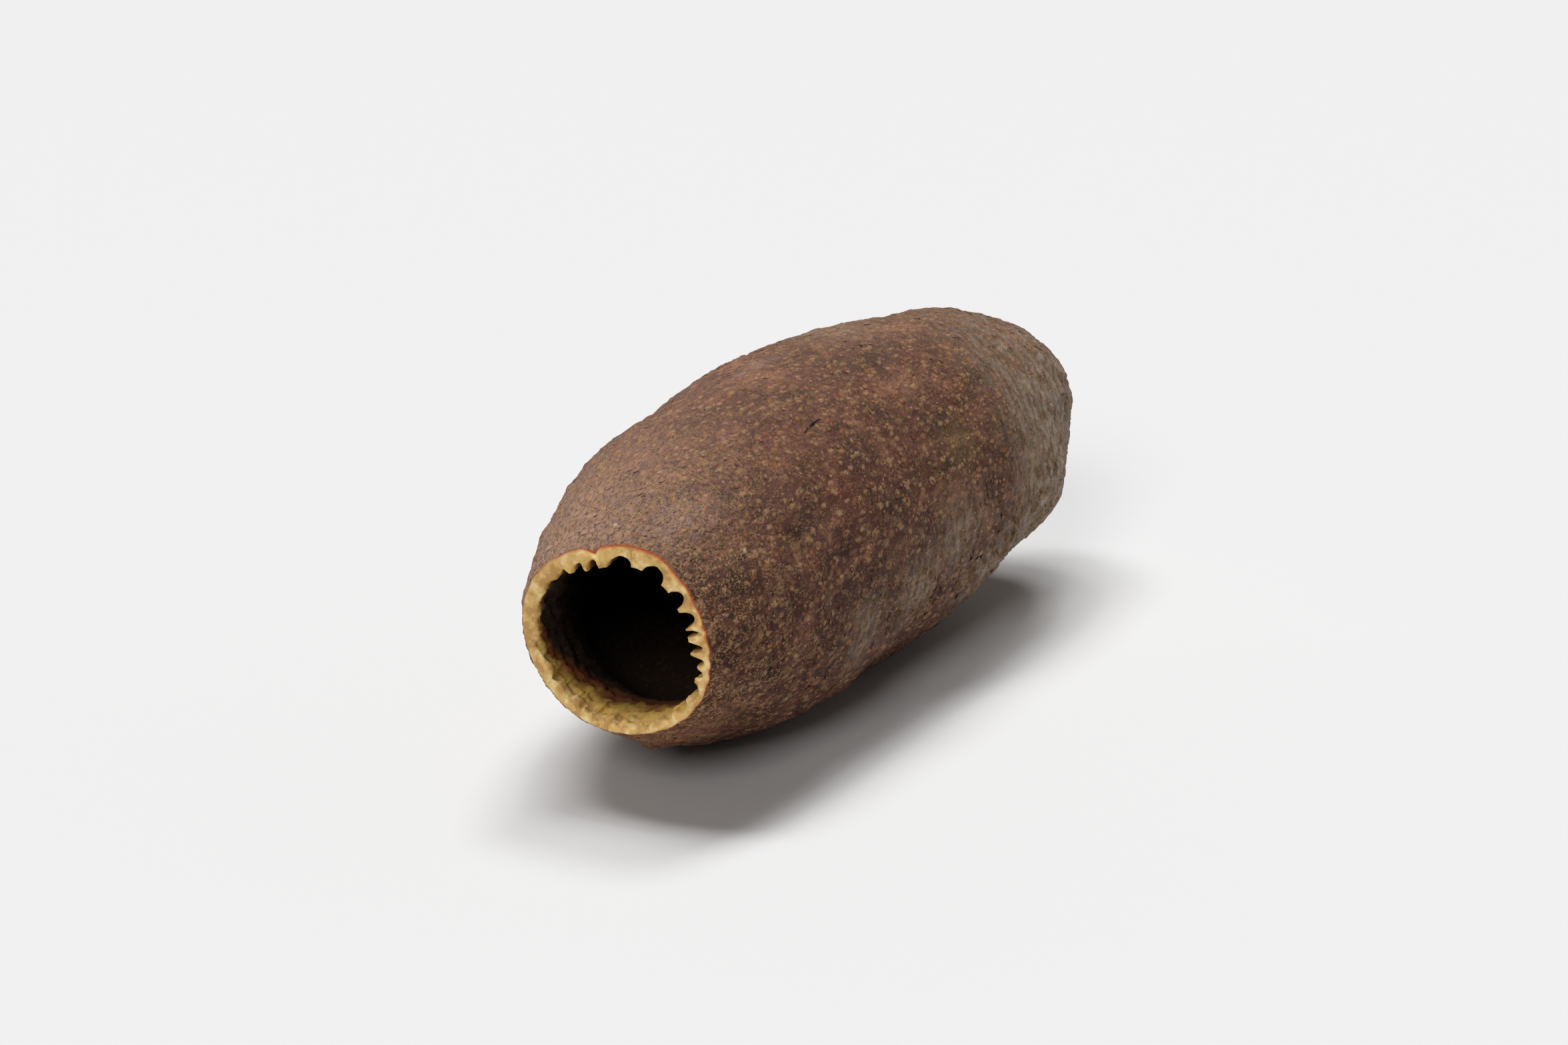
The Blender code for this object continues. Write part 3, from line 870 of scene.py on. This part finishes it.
def random_value(low, high, salt):
    """A random number for each fleck, with a seed of its own."""
    seed = maths("ADD", given["Seed"], salt)
    return add("FunctionNodeRandomValue", {2: low, 3: high, "Seed": seed}, data_type="FLOAT")[1]


def stored(geometry, name, value):
    """Geometry that carries a number for each point."""
    return shaped("StoreNamedAttribute", geometry, {"Name": name, "Value": value},
                  data_type="FLOAT", domain="POINT")


# They stand in clusters, fewer under the ash, and none by the lip, the scar or the floor.
position = add("GeometryNodeInputPosition")[0]
clusters = remap(noise(position, given["Cluster size"]), *CLUSTER_EDGES, BETWEEN_CLUSTERS)
bare = times_plus(attribute("ash"), -ASH_THINS_BY, 1.0)
bare = times(bare, maths("LESS_THAN", attribute("scar"), SCAR_KEPT_BARE))
off_floor = maths("GREATER_THAN", add("ShaderNodeSeparateXYZ", {0: position})["Z"], LOWEST_FLECK)
behind_lip = maths("LESS_THAN", attribute("inward"), -LIP_KEPT_BARE)
scatter = add("GeometryNodeDistributePointsOnFaces", {
    "Mesh": given["Geometry"], "Distance Min": given["Spacing"], "Density Max": given["Density"],
    "Density Factor": times(times(clusters, bare), times(off_floor, behind_lip)),
    "Seed": given["Seed"]}, distribute_method="POISSON")
toned = stored(scatter["Points"], "tone", random_value(0.0, 1.0, 0.0))
print("nodes that place the flecks:", len(fleck_tree.nodes))

# %% One dome
# A closed cone, rounded, that shades smoothly with a hard edge round its hidden base.
cone = add("GeometryNodeMeshCone", {
    "Vertices": FLECK_SIDES, "Side Segments": 2, "Radius Top": 0.0, "Radius Bottom": 1.0, "Depth": 1.0},
    fill_type="NGON")
local = add("ShaderNodeSeparateXYZ", {0: add("GeometryNodeInputPosition")[0]})
round_height = maths("SINE", times(local["Z"], math.pi / 2))
rounded = shaped("SetPosition", stored(cone["Mesh"], "crown", local["Z"]),
                 {"Position": combined(local["X"], local["Y"], round_height)})
smoothed = shaped("SetShadeSmooth", rounded, {"Shade Smooth": True}, domain="FACE")
at_base = maths("GREATER_THAN", add("GeometryNodeInputMeshEdgeAngle")["Unsigned Angle"], BASE_EDGE_ANGLE)
edged = shaped("SetShadeSmooth", smoothed, {"Selection": at_base, "Shade Smooth": False}, domain="EDGE")
print("sides of a dome:", FLECK_SIDES)

# %% Size, turn and sink the domes
# Each gets its own width and length, lies roughly along the pod and sinks a little.
width = random_value(given["Smallest"], given["Largest"], 3.0)
stretch = random_value(*FLECK_STRETCH, 7.0)
turn = random_value(*FLECK_TURN, 13.0)
upright = add("FunctionNodeAlignRotationToVector", {"Vector": scatter["Normal"]}, axis="Z")[0]
lengthwise = add("FunctionNodeAlignRotationToVector", {
    "Rotation": upright, "Vector": (0, 1, 0)}, axis="Y", pivot_axis="Z")[0]
by = add("FunctionNodeAxisAngleToRotation", {"Axis": (0, 0, 1), "Angle": turn})[0]
spun = add("FunctionNodeRotateRotation", {"Rotation": lengthwise, "Rotate By": by},
           rotation_space="LOCAL")[0]
tall = maths("ADD", given["Height"], given["Sink"])
stood = shaped("InstanceOnPoints", toned, {
    "Instance": edged, "Rotation": spun, "Scale": combined(width, times(width, stretch), tall)})
down = combined(0.0, 0.0, times(given["Sink"], -1.0))
sunk = shaped("TranslateInstances", stood, {"Translation": down, "Local Space": True})
push = wander(position, 1 / WANDER_SIZE, 1.0, times(given["Unevenness"], 2.0))
rim_share = maths("SUBTRACT", 1.0, attribute("crown"))
uneven = shaped("SetPosition", shaped("RealizeInstances", sunk), {"Offset": scaled(push, rim_share)})
fill(results, {"Geometry": shaped("SetMaterial", uneven, {"Material": cork_material})})
print("nodes in the scatter tree:", len(fleck_tree.nodes))

# %% Run the scatter tree on the case
fleck_mesh = apply_tree(pod_case, fleck_tree, FLECKS, "corky_flecks")
corky_flecks = placed("corky_flecks", fleck_mesh)
triangles = sum(len(p.vertices) - 2 for p in fleck_mesh.polygons)
print("flecks:", len(fleck_mesh.vertices) // (2 * FLECK_SIDES + 1), "with", triangles, "triangles")

# %% [markdown]
# Colours
#
# Colours picked from a photograph are display values, and a shader wants linear ones, so a helper
# turns one into the other. The finishes share three effects, kept as shader groups: mottling, which
# blends three tones by noise of two sizes, speckle, which puts small soft spots over a surface, and
# a small mark, which draws a ragged line between two places.

# %% Helpers for colours
def srgb(red, green, blue):
    """A display colour from 0 to 255 as the linear colour that shaders use."""
    def linear(value):
        share = value / 255
        return share / 12.92 if share <= 0.04045 else ((share + 0.055) / 1.055) ** 2.4
    return (linear(red), linear(green), linear(blue), 1.0)


def mix_colour(share, first, second):
    """Two colours mixed by a share."""
    return add("ShaderNodeMix", {0: share, 6: first, 7: second}, data_type="RGBA")[2]


def painted(colour, coats):
    """A colour with coats over it, each given as a share and a colour."""
    for share, paint in coats:
        colour = mix_colour(share, colour, paint)
    return colour

print("display grey 128 as a linear value:", round(srgb(128, 128, 128)[0], 3))

# %% Mottling
mottle, given, results = new_group(
    "ShaderNodeTree", "mottled_wood",
    {"Vector": "Vector", "Dark": srgb(60, 44, 36), "Middle": srgb(98, 72, 58), "Light": srgb(130, 100, 80),
     "Patches per metre": 260.0, "Grain per metre": 1500.0, "Grain share": 0.45},
    {"Color": "Color", "Roughness": "Float", "Height": "Float"},
)
broad = noise_of(given["Vector"], given["Patches per metre"], 3.0, 0.55)
fine = noise_of(given["Vector"], given["Grain per metre"], 4.0, 0.65)
both = add("ShaderNodeMix", {0: given["Grain share"], 2: broad, 3: fine}, data_type="FLOAT")[0]
shade = mix_colour(remap(both, 0.40, 0.50), given["Dark"], given["Middle"])
shade = mix_colour(remap(both, 0.50, 0.64), shade, given["Light"])
fill(results, {"Color": shade, "Roughness": remap(fine, 0.3, 0.7, 0.58, 0.80), "Height": fine})
print(mottle.name, "has", len(mottle.nodes), "nodes")

# %% Speckle
speckle, given, results = new_group(
    "ShaderNodeTree", "soft_speckle",
    {"Vector": "Vector", "Spots per metre": 1500.0, "Size": 0.35, "Softness": 0.12, "Share": 0.5},
    {"Mask": "Float", "Ring": "Float", "Tone": "Float"},
)
bend = wander(given["Vector"], times(given["Spots per metre"], 1.6), 3.0,
              maths("DIVIDE", 0.6, given["Spots per metre"]))
cells = add("ShaderNodeTexVoronoi", {
    "Vector": vector_maths("ADD", given["Vector"], bend), "Scale": given["Spots per metre"]},
    feature="F1")
dice = add("ShaderNodeSeparateColor", {0: cells["Color"]})
chosen = remap(dice[0], maths("SUBTRACT", given["Share"], 0.25), given["Share"], 1.0, 0.0)
inside = maths("SUBTRACT", given["Size"], given["Softness"])
outside = maths("ADD", given["Size"], given["Softness"])
spot = times(remap(cells["Distance"], inside, outside, 1.0, 0.0), chosen)
heart = remap(cells["Distance"], 0.0, times(given["Size"], 0.6))
fill(results, {"Mask": spot, "Ring": times(spot, heart), "Tone": dice[1]})
print(speckle.name, "has", len(speckle.nodes), "nodes")

# %% A small mark
mark, given, results = new_group(
    "ShaderNodeTree", "small_mark",
    {"Vector": "Vector", "Start": "Vector", "End": "Vector", "Half width": 0.2 * MM, "Softness": 0.1 * MM},
    {"Mask": "Float"},
)
ragged_by = wander(given["Vector"], 1 / (0.5 * MM), 3.0, times(given["Half width"], 2.2))
here = vector_maths("SUBTRACT", vector_maths("ADD", given["Vector"], ragged_by), given["Start"])
run = vector_maths("SUBTRACT", given["End"], given["Start"])
dot = vector_maths("DOT_PRODUCT", here, run, "Value")
whole = vector_maths("DOT_PRODUCT", run, run, "Value")
part = maths("DIVIDE", dot, maths("MAXIMUM", whole, 1e-12), clamp=True)
off = vector_maths("LENGTH", vector_maths("SUBTRACT", here, scaled(run, part)), output="Value")
outside = maths("ADD", given["Half width"], given["Softness"])
fill(results, {"Mask": remap(off, given["Half width"], outside, 1.0, 0.0)})
print(mark.name, "has", len(mark.nodes), "nodes")

# %% Helpers that use the groups and the masks
def bumped(strength, distance, height):
    """The surface's direction after a bump map."""
    return add("ShaderNodeBump", {"Strength": strength, "Distance": distance, "Height": height})[0]


def use_group(group, inputs):
    """A shader group placed in a tree with its own values."""
    return add("ShaderNodeGroup", inputs, node_tree=group)


def mask(name):
    """The value of one of the mesh's masks in a material."""
    return add("ShaderNodeAttribute", attribute_type="GEOMETRY", attribute_name=name)["Fac"]


def on_bark_at(t, degrees):
    """A place on the bark, given as the share of the length and the angle."""
    angle = np.array([math.radians(degrees)])
    return tuple((on_ring(t, skin_radius(t, angle), angle, t * LENGTH)[0] + place).tolist())


def mark_line(vector, line, half_width, softness):
    """The mask of a ragged line through places on the bark. A line of one place is a dot."""
    strongest = None
    for start, end in list(zip(line, line[1:])) or [(line[0], line[0])]:
        one = use_group(mark, {
            "Vector": vector, "Start": on_bark_at(*start), "End": on_bark_at(*end),
            "Half width": half_width, "Softness": softness})["Mask"]
        strongest = one if strongest is None else maths("MAXIMUM", strongest, one)
    return strongest


print("a place on top of the bark:", [round(v, 3) for v in on_bark_at(BELLY_AT, 90)])

# %% [markdown]
# The bark
#
# Outside, the case is a purplish brown, dark in the hollows, with tan crumbs, ruddy patches where
# the skin rubbed off and a grey-olive bloom on the blunt end. Painted light lies over it: the upper
# side lighter, a painted sheen on the neck, and painted highlights on the crinkles and in the bloom's
# streaks. The material mixes these one over another, like layers of paint, each through its own mask.

# %% Bark colours
PATTERN_STRETCH = (1.0, 0.55, 1.0)
STREAK_STRETCH = (0.35, 1.0, 0.35)
BARK_DARK = srgb(50, 26, 17)
BARK_MIDDLE = srgb(86, 49, 37)
BARK_LIGHT = srgb(120, 79, 62)
SPOT_TAN = srgb(188, 146, 104)
SPOT_ORANGE = srgb(164, 110, 66)
CRUMB_GOLD = srgb(176, 138, 94)
# Grey of the ash bloom, also the colour of its painted highlight streaks.
ASH_HIGHLIGHT_GREY = srgb(184, 170, 154)
ASH_OLIVE = srgb(140, 118, 88)
RUDDY_BROWN = srgb(104, 52, 42)
MAROON = srgb(70, 33, 29)
AMBER = srgb(176, 116, 56)
PALE = srgb(206, 190, 170)
OLIVE = srgb(118, 102, 66)
TAN_BARK = srgb(160, 108, 78)
# Painted highlight colour, for the sheen spots and the crinkled folds.
SHEEN = srgb(172, 142, 132)
# A pale haze painted over the lit side: painted light.
PAINTED_LIGHT_HAZE = srgb(180, 148, 130)
RED_LINE = srgb(184, 84, 36)
CUT_DARK = srgb(34, 24, 20)
SCAR_WOOD = srgb(148, 116, 84)
SCAR_DARK = srgb(62, 44, 34)
print("the bark's middle tone:", [round(v, 3) for v in BARK_MIDDLE])

# %% Small marks on the bark
# Each line: the places that it runs through, as (share of the length, angle), half its width and
# how soft its edge is.
CUT_LINE = (((0.297, 57.6), (0.312, 58.3), (0.330, 58.6), (0.352, 57.2)), 0.03 * MM, 0.16 * MM)
CUT_HEART = (((0.311, 58.2), (0.322, 58.5)), 0.06 * MM, 0.16 * MM)
CREASE_LINE = (((0.120, 84.1), (0.119, 73.6), (0.118, 67.4), (0.117, 59.8)), 0.05 * MM, 0.25 * MM)
SECOND_CREASE = (((0.165, 71.3), (0.170, 65.8), (0.165, 61.2)), 0.04 * MM, 0.20 * MM)
# Each kind of dot: its places, its colour and half its width.
DOTS = (
    (((0.141, 73.4), (0.10, 190.0), (0.19, 345.0)), AMBER, 0.22 * MM),
    (((0.027, 95.1), (0.094, 36.2), (0.43, 170.0)), PALE, 0.07 * MM),
)
DOT_SOFTNESS = 0.30 * MM
DOT_SHARE = 0.7
CUT_SHARE = 0.6
CREASE_SHARE = 0.40
print("kinds of dots:", len(DOTS), "and the cut runs through", len(CUT_LINE[0]), "places")

# %% The ground colour that bark and cork share
def bark_ground(vector):
    """The bark's colour before spots: mottling, blotches, ruddy and olive patches, painted light, ash."""
    space = vector_maths("MULTIPLY", vector, PATTERN_STRETCH)
    base = use_group(mottle, {
        "Vector": space, "Dark": BARK_DARK, "Middle": BARK_MIDDLE, "Light": BARK_LIGHT})
    broken = noise(space, 1.2 * MM, 4.0, 0.65)
    redder = noise(vector_maths("ADD", space, (0.02, 0.05, 0.01)), 3.2 * MM, 3.0, 0.6)
    blotches = remap(noise(space, 0.8 * MM, 4.0, 0.65), 0.34, 0.64, 0.74, 1.30)
    wide = noise(vector_maths("ADD", space, (0.05, 0.01, 0.03)), 3.6 * MM)
    blotches = times(blotches, remap(wide, 0.38, 0.62, 0.82, 1.18))
    # Painted light: the bark is lighter on its upper left side and darker below, with less maroon where lit.
    side = times_plus(mask("painted_light_side"), 0.50, 0.83)
    maroon = times(remap(redder, 0.47, 0.58), remap(broken, 0.36, 0.54, 0.35, 0.80))
    maroon = times(maroon, times_plus(mask("painted_light_side"), -0.55, 1.0))
    ruddy = times(mask("ruddy"), remap(broken, 0.35, 0.6, 0.2, 0.9))
    tanned = times(mask("tanned"), remap(broken, 0.3, 0.6, 0.35, 0.8))
    # A pale haze painted on the lit side, stronger on the neck: painted light.
    painted_haze = times(maths("POWER", mask("painted_light_side"), 2.0), times_plus(mask("worn"), 0.46, 0.32))
    # Streaks round the girth: painted highlights on the crinkled folds and in the ash bloom.
    streaky = noise(vector_maths("MULTIPLY", vector, STREAK_STRETCH), 0.8 * MM, 2.5, 0.55)
    streaks = remap(streaky, 0.36, 0.64)
    ash = times(mask("ash"), remap(broken, 0.30, 0.64, 0.40, 0.92))
    colour = painted(scaled(base["Color"], times(side, blotches)), (
        (maroon, MAROON),
        (ruddy, RUDDY_BROWN),
        (times(mask("olive"), 0.4), OLIVE),
        (tanned, TAN_BARK),
        (painted_haze, PAINTED_LIGHT_HAZE),
        # Painted highlights along the crinkled folds.
        (times(times(mask("crinkled"), streaks), 0.30), SHEEN),
        # Olive ash bloom, with painted highlights in its grey streaks.
        (ash, mix_colour(streaks, ASH_OLIVE, ASH_HIGHLIGHT_GREY)),
    ))
    return {"colour": colour, "base": base, "space": space, "broken": broken}

# %% Bark material
work_on(bark_material.node_tree)
bark_at = add("ShaderNodeTexCoord")["Object"]
ground = bark_ground(bark_at)
space = ground["space"]
broken = ground["broken"]
worn = mask("worn")
large_spots = use_group(speckle, {
    "Vector": space, "Spots per metre": 1500.0, "Size": 0.40, "Softness": 0.22, "Share": 0.62})
ring_spots = use_group(speckle, {
    "Vector": vector_maths("ADD", space, (0.011, 0.003, 0.017)),
    "Spots per metre": 800.0, "Size": 0.38, "Softness": 0.14, "Share": 0.45})
grit = noise(space, 0.22 * MM, 4.0, 0.75)
crumbly = noise(space, 0.38 * MM, 4.0, 0.7)
crumb_beds = remap(noise(space, 1.1 * MM, 3.0, 0.6), 0.38, 0.56)
print("nodes of the ground, spots and grit:", len(bark_material.node_tree.nodes))

# %% How much of each coat shows
sheen = times(times(mask("sheen"), remap(broken, 0.38, 0.54, 0.20, 0.95)), 0.85)
scar = mask("scar")
fewer = times_plus(mask("ash"), -0.6, 0.85)
spotted = times(large_spots["Mask"], times(fewer, remap(grit, 0.3, 0.6, 0.35, 0.90)))
crumb_shade = times(worn, remap(crumbly, 0.34, 0.62, -0.40, 0.34))
gold = times(times(remap(grit, 0.50, 0.59), crumb_beds), times_plus(worn, 0.58, 0.36))
pits = times(remap(grit, 0.35, 0.46, 1.0, 0.0), times_plus(worn, 0.48, 0.42))
by_rim = times(remap(mask("inward"), -0.24 * MM, -0.04 * MM), mask("lit_edge"))
red_line = times(times(by_rim, remap(broken, 0.36, 0.50, 0.25, 1.0)), 0.95)
cut = maths("MAXIMUM", mark_line(bark_at, *CUT_HEART), times(mark_line(bark_at, *CUT_LINE), CUT_SHARE))
crease = maths("MAXIMUM", mark_line(bark_at, *CREASE_LINE), mark_line(bark_at, *SECOND_CREASE))
dots = [(times(mark_line(bark_at, (dot,), half_width, DOT_SOFTNESS), DOT_SHARE), paint)
        for places, paint, half_width in DOTS for dot in places]
print("dots to paint:", len(dots))

# %% Paint the bark
colour = painted(ground["colour"], (
    (sheen, SHEEN),
    (remap(scar, 0.05, 0.35, 0.0, 0.6), SCAR_WOOD),
    (remap(scar, 0.45, 0.95, 0.0, 0.85), SCAR_DARK),
    (spotted, mix_colour(remap(large_spots["Tone"], 0.6, 0.9), SPOT_TAN, SPOT_ORANGE)),
    (times(ring_spots["Ring"], times(fewer, 0.35)), SPOT_TAN),
))
colour = scaled(colour, maths("ADD", 1.0, crumb_shade))
colour = painted(colour, (
    (gold, CRUMB_GOLD), (pits, BARK_DARK), *dots, (red_line, RED_LINE), (cut, CUT_DARK),
    (times(crease, CREASE_SHARE), SPOT_TAN),
))
height = maths("ADD", ground["base"]["Height"], times(grit, 0.6))
for value, factor in ((large_spots["Mask"], 0.30), (crumbly, times(worn, 1.2)), (cut, -3.0), (crease, 0.8)):
    height = times_plus(value, factor, height)
fill(bark_inputs, {
    "Base Color": colour,
    "Roughness": times_plus(mask("sheen"), -0.10, ground["base"]["Roughness"]),
    "Specular IOR Level": 0.16,
    "Normal": bumped(0.9, 0.32 * MM, height),
})
print("bark nodes:", len(bark_material.node_tree.nodes))

# %% [markdown]
# The inner wood
#
# The broken rim is clean pale wood. Down the seat it turns golden, then painted shade takes it to orange
# brown and the hollow behind to dark. The mesh knows how deep in that shade each point is, so three steps
# of that one mask give all of it, and noise stretched along the pod draws the fibres.

# %% Wood colour, roughness and bump
WOOD_DARK = srgb(112, 74, 34)
WOOD_OLIVE = srgb(190, 146, 82)
WOOD_MIDDLE = srgb(216, 176, 106)
WOOD_LIGHT = srgb(238, 210, 148)
SEAT_GOLD = srgb(230, 188, 96)
# Painted shade: brown down the seat, dark in the hollow.
SEAT_SHADE_BROWN = srgb(150, 92, 48)
HOLLOW_SHADE_DARK = srgb(44, 30, 22)
FIBRE_GRAIN = (1.0, 0.25, 1.0)

work_on(wood_material.node_tree)
wood_at = add("ShaderNodeTexCoord")["Object"]
along_fibres = vector_maths("MULTIPLY", wood_at, FIBRE_GRAIN)
grain = use_group(mottle, {
    "Vector": wood_at, "Dark": WOOD_OLIVE, "Middle": WOOD_MIDDLE, "Light": WOOD_LIGHT,
    "Patches per metre": 750.0, "Grain per metre": 2400.0, "Grain share": 0.15})
fibres = noise(along_fibres, 0.28 * MM, 4.0, 0.65)
pits = use_group(speckle, {
    "Vector": along_fibres, "Spots per metre": 2200.0, "Size": 0.28, "Softness": 0.14, "Share": 0.35})
ledge = noise(wood_at, 2.2 * MM, 3.0, 0.6)
# How deep in the painted shade each point is, with an uneven edge.
hollow_shade = times_plus(maths("SUBTRACT", ledge, 0.5), 6 * MM, mask("hollow_shade"))
golden = remap(hollow_shade, 0.4 * MM, 2.2 * MM)
streaks = times(remap(fibres, 0.34, 0.50, 1.0, 0.0), golden)
outer_line = times(remap(mask("inward"), 0.0, 0.20 * MM, 1.0, 0.0), mask("lit_edge"))
# Golden wood, then painted shade: brown down the seat and dark in the hollow.
colour = painted(grain["Color"], (
    (golden, SEAT_GOLD),
    (remap(hollow_shade, 3.0 * MM, 5.5 * MM), SEAT_SHADE_BROWN),
    (remap(hollow_shade, 5.0 * MM, 11 * MM), HOLLOW_SHADE_DARK),
    (times(streaks, 0.28), WOOD_DARK),
    (times(pits["Mask"], times(golden, 0.5)), WOOD_DARK),
    (times(outer_line, 0.75), RED_LINE),
))
height = times_plus(pits["Mask"], -0.5, maths("ADD", fibres, times(grain["Height"], 0.5)))
fill(wood_inputs, {
    "Base Color": colour,
    "Roughness": 0.72,
    "Normal": bumped(0.6, 0.14 * MM, height),
})
print("wood nodes:", len(wood_material.node_tree.nodes))

# %% [markdown]
# The cork
#
# Each fleck is tan, gold or orange, by its tone. Towards its rim it takes the bark's own ground, so
# that it looks grown on and not glued on.

# %% Cork colour
CORK_TAN = srgb(190, 146, 106)
CORK_GOLD = srgb(184, 136, 88)
CORK_ORANGE = srgb(168, 106, 58)

work_on(cork_material.node_tree)
cork_at = add("ShaderNodeTexCoord")["Object"]
under = bark_ground(cork_at)["colour"]
tone = mask("tone")
cork = painted(CORK_TAN, (
    (remap(tone, 0.45, 0.55), CORK_GOLD),
    (remap(tone, 0.80, 0.84), CORK_ORANGE),
))
crusty = noise(cork_at, 0.25 * MM, 3.0, 0.6)
covers = remap(maths("ADD", mask("crown"), times_plus(crusty, 1.6, -0.8)), 0.20, 1.10)
strength = remap(maths("FRACT", times(tone, 7.3)), 0.0, 1.0, 0.30, 0.85)
fill(cork_inputs, {
    "Base Color": mix_colour(times(covers, strength), under, cork),
    "Roughness": 0.75,
    "Specular IOR Level": 0.14,
    "Normal": bumped(0.5, 0.1 * MM, crusty),
})
print("cork nodes:", len(cork_material.node_tree.nodes))

# %% [markdown]
# Floor, light and camera
#
# The pod lies on white paper. Three high suns in a row make one long soft box over it: their wide
# discs soften the shadow, and suns light the paper evenly however far it runs. A low lamp in front
# reaches into the mouth, and a faint sky with a pale wall behind the pod fills the shadows. The
# camera is a long lens a little above the pod, at the angle found from its outline and the mouth's
# oval.

# %% Floor and light
FLOOR_SIZE = 8.0
FLOOR_WHITE = 0.80

floor_mesh = bpy.data.meshes.new("floor")
half = FLOOR_SIZE / 2
corners = [(-half, -half, 0), (half, -half, 0), (half, half, 0), (-half, half, 0)]
floor_mesh.from_pydata(corners, [], [(0, 1, 2, 3)])
floor = placed("floor", floor_mesh)
paper, paper_inputs = blank_material("white_paper")
fill(paper_inputs, {
    "Base Color": (FLOOR_WHITE, FLOOR_WHITE, FLOOR_WHITE, 1.0), "Roughness": 0.9, "Specular IOR Level": 0.1})
floor_mesh.materials.append(paper)
floor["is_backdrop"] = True

# Each lamp: azimuth from +X towards +Y, height in degrees, how wide it looks, and its share of the
# light on the floor.
LAMPS = {
    "box_back": (92, 70, 18, 0.235),
    "box_top": (165, 84, 18, 0.28),
    "box_front": (229, 70, 18, 0.28),
    "low_front": (285, 28, 16, 0.14),
}
FLOOR_BRIGHTNESS = 0.89
WALL_BRIGHTNESS = 0.30
SKY_BRIGHTNESS = 0.03

for name, (azimuth, height_angle, wide, share) in LAMPS.items():
    azimuth, height_angle = math.radians(azimuth), math.radians(height_angle)
    lamp_data = bpy.data.lights.new(name, "SUN")
    lamp_data.energy = share * FLOOR_BRIGHTNESS * math.pi / (FLOOR_WHITE * math.sin(height_angle))
    lamp_data.angle = math.radians(wide)
    lamp = placed(name, lamp_data)
    flat = math.cos(height_angle)
    towards = Vector((flat * math.cos(azimuth), flat * math.sin(azimuth), math.sin(height_angle)))
    lamp.rotation_euler = towards.to_track_quat("Z", "Y").to_euler()
    print(name, "strength", round(lamp_data.energy, 2))

world = bpy.data.worlds.new("studio")
world.use_nodes = True
work_on(world.node_tree)
looking = add("ShaderNodeSeparateXYZ", {0: add("ShaderNodeTexCoord")["Generated"]})
wall = times(remap(looking["Y"], -0.1, 0.5), remap(looking["Z"], 0.35, 0.75, 1.0, 0.0))
fill(world.node_tree.nodes["Background"].inputs, {
    "Color": (1.0, 1.0, 1.0, 1.0),
    "Strength": remap(wall, 0.0, 1.0, SKY_BRIGHTNESS, WALL_BRIGHTNESS, "LINEAR"),
})
bpy.context.scene.world = world
print("white wall behind:", WALL_BRIGHTNESS)

# %% Camera
CAMERA_FROM_MOUTH = Vector((184.04, -308.62, 116.57)) * MM
CAMERA_RIGHT = Vector((0.8811, 0.4730, 0.0))
CAMERA_UP = Vector((-0.1326, 0.2471, 0.9599))

camera_data = bpy.data.cameras.new("camera")
camera_data.lens = 90
camera_data.sensor_width = 36
camera_data.clip_start = 0.01
camera_data.clip_end = 20
camera = placed("camera", camera_data)
right = CAMERA_RIGHT.normalized()
up = (CAMERA_UP - right * CAMERA_UP.dot(right)).normalized()
turn = Matrix((right, up, right.cross(up))).transposed()
camera.matrix_world = Matrix.Translation(mouth_centre + CAMERA_FROM_MOUTH) @ turn.to_4x4()
bpy.context.scene.camera = camera
bpy.context.scene.view_settings.view_transform = "Standard"
print("camera at", [round(v, 3) for v in camera.location])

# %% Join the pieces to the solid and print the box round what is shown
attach(pod_case, "root")
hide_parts("pod")
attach(corky_flecks, "root")

low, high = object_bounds()
print("box in mm:", [round(v / MM, 2) for v in low], [round(v / MM, 2) for v in high])
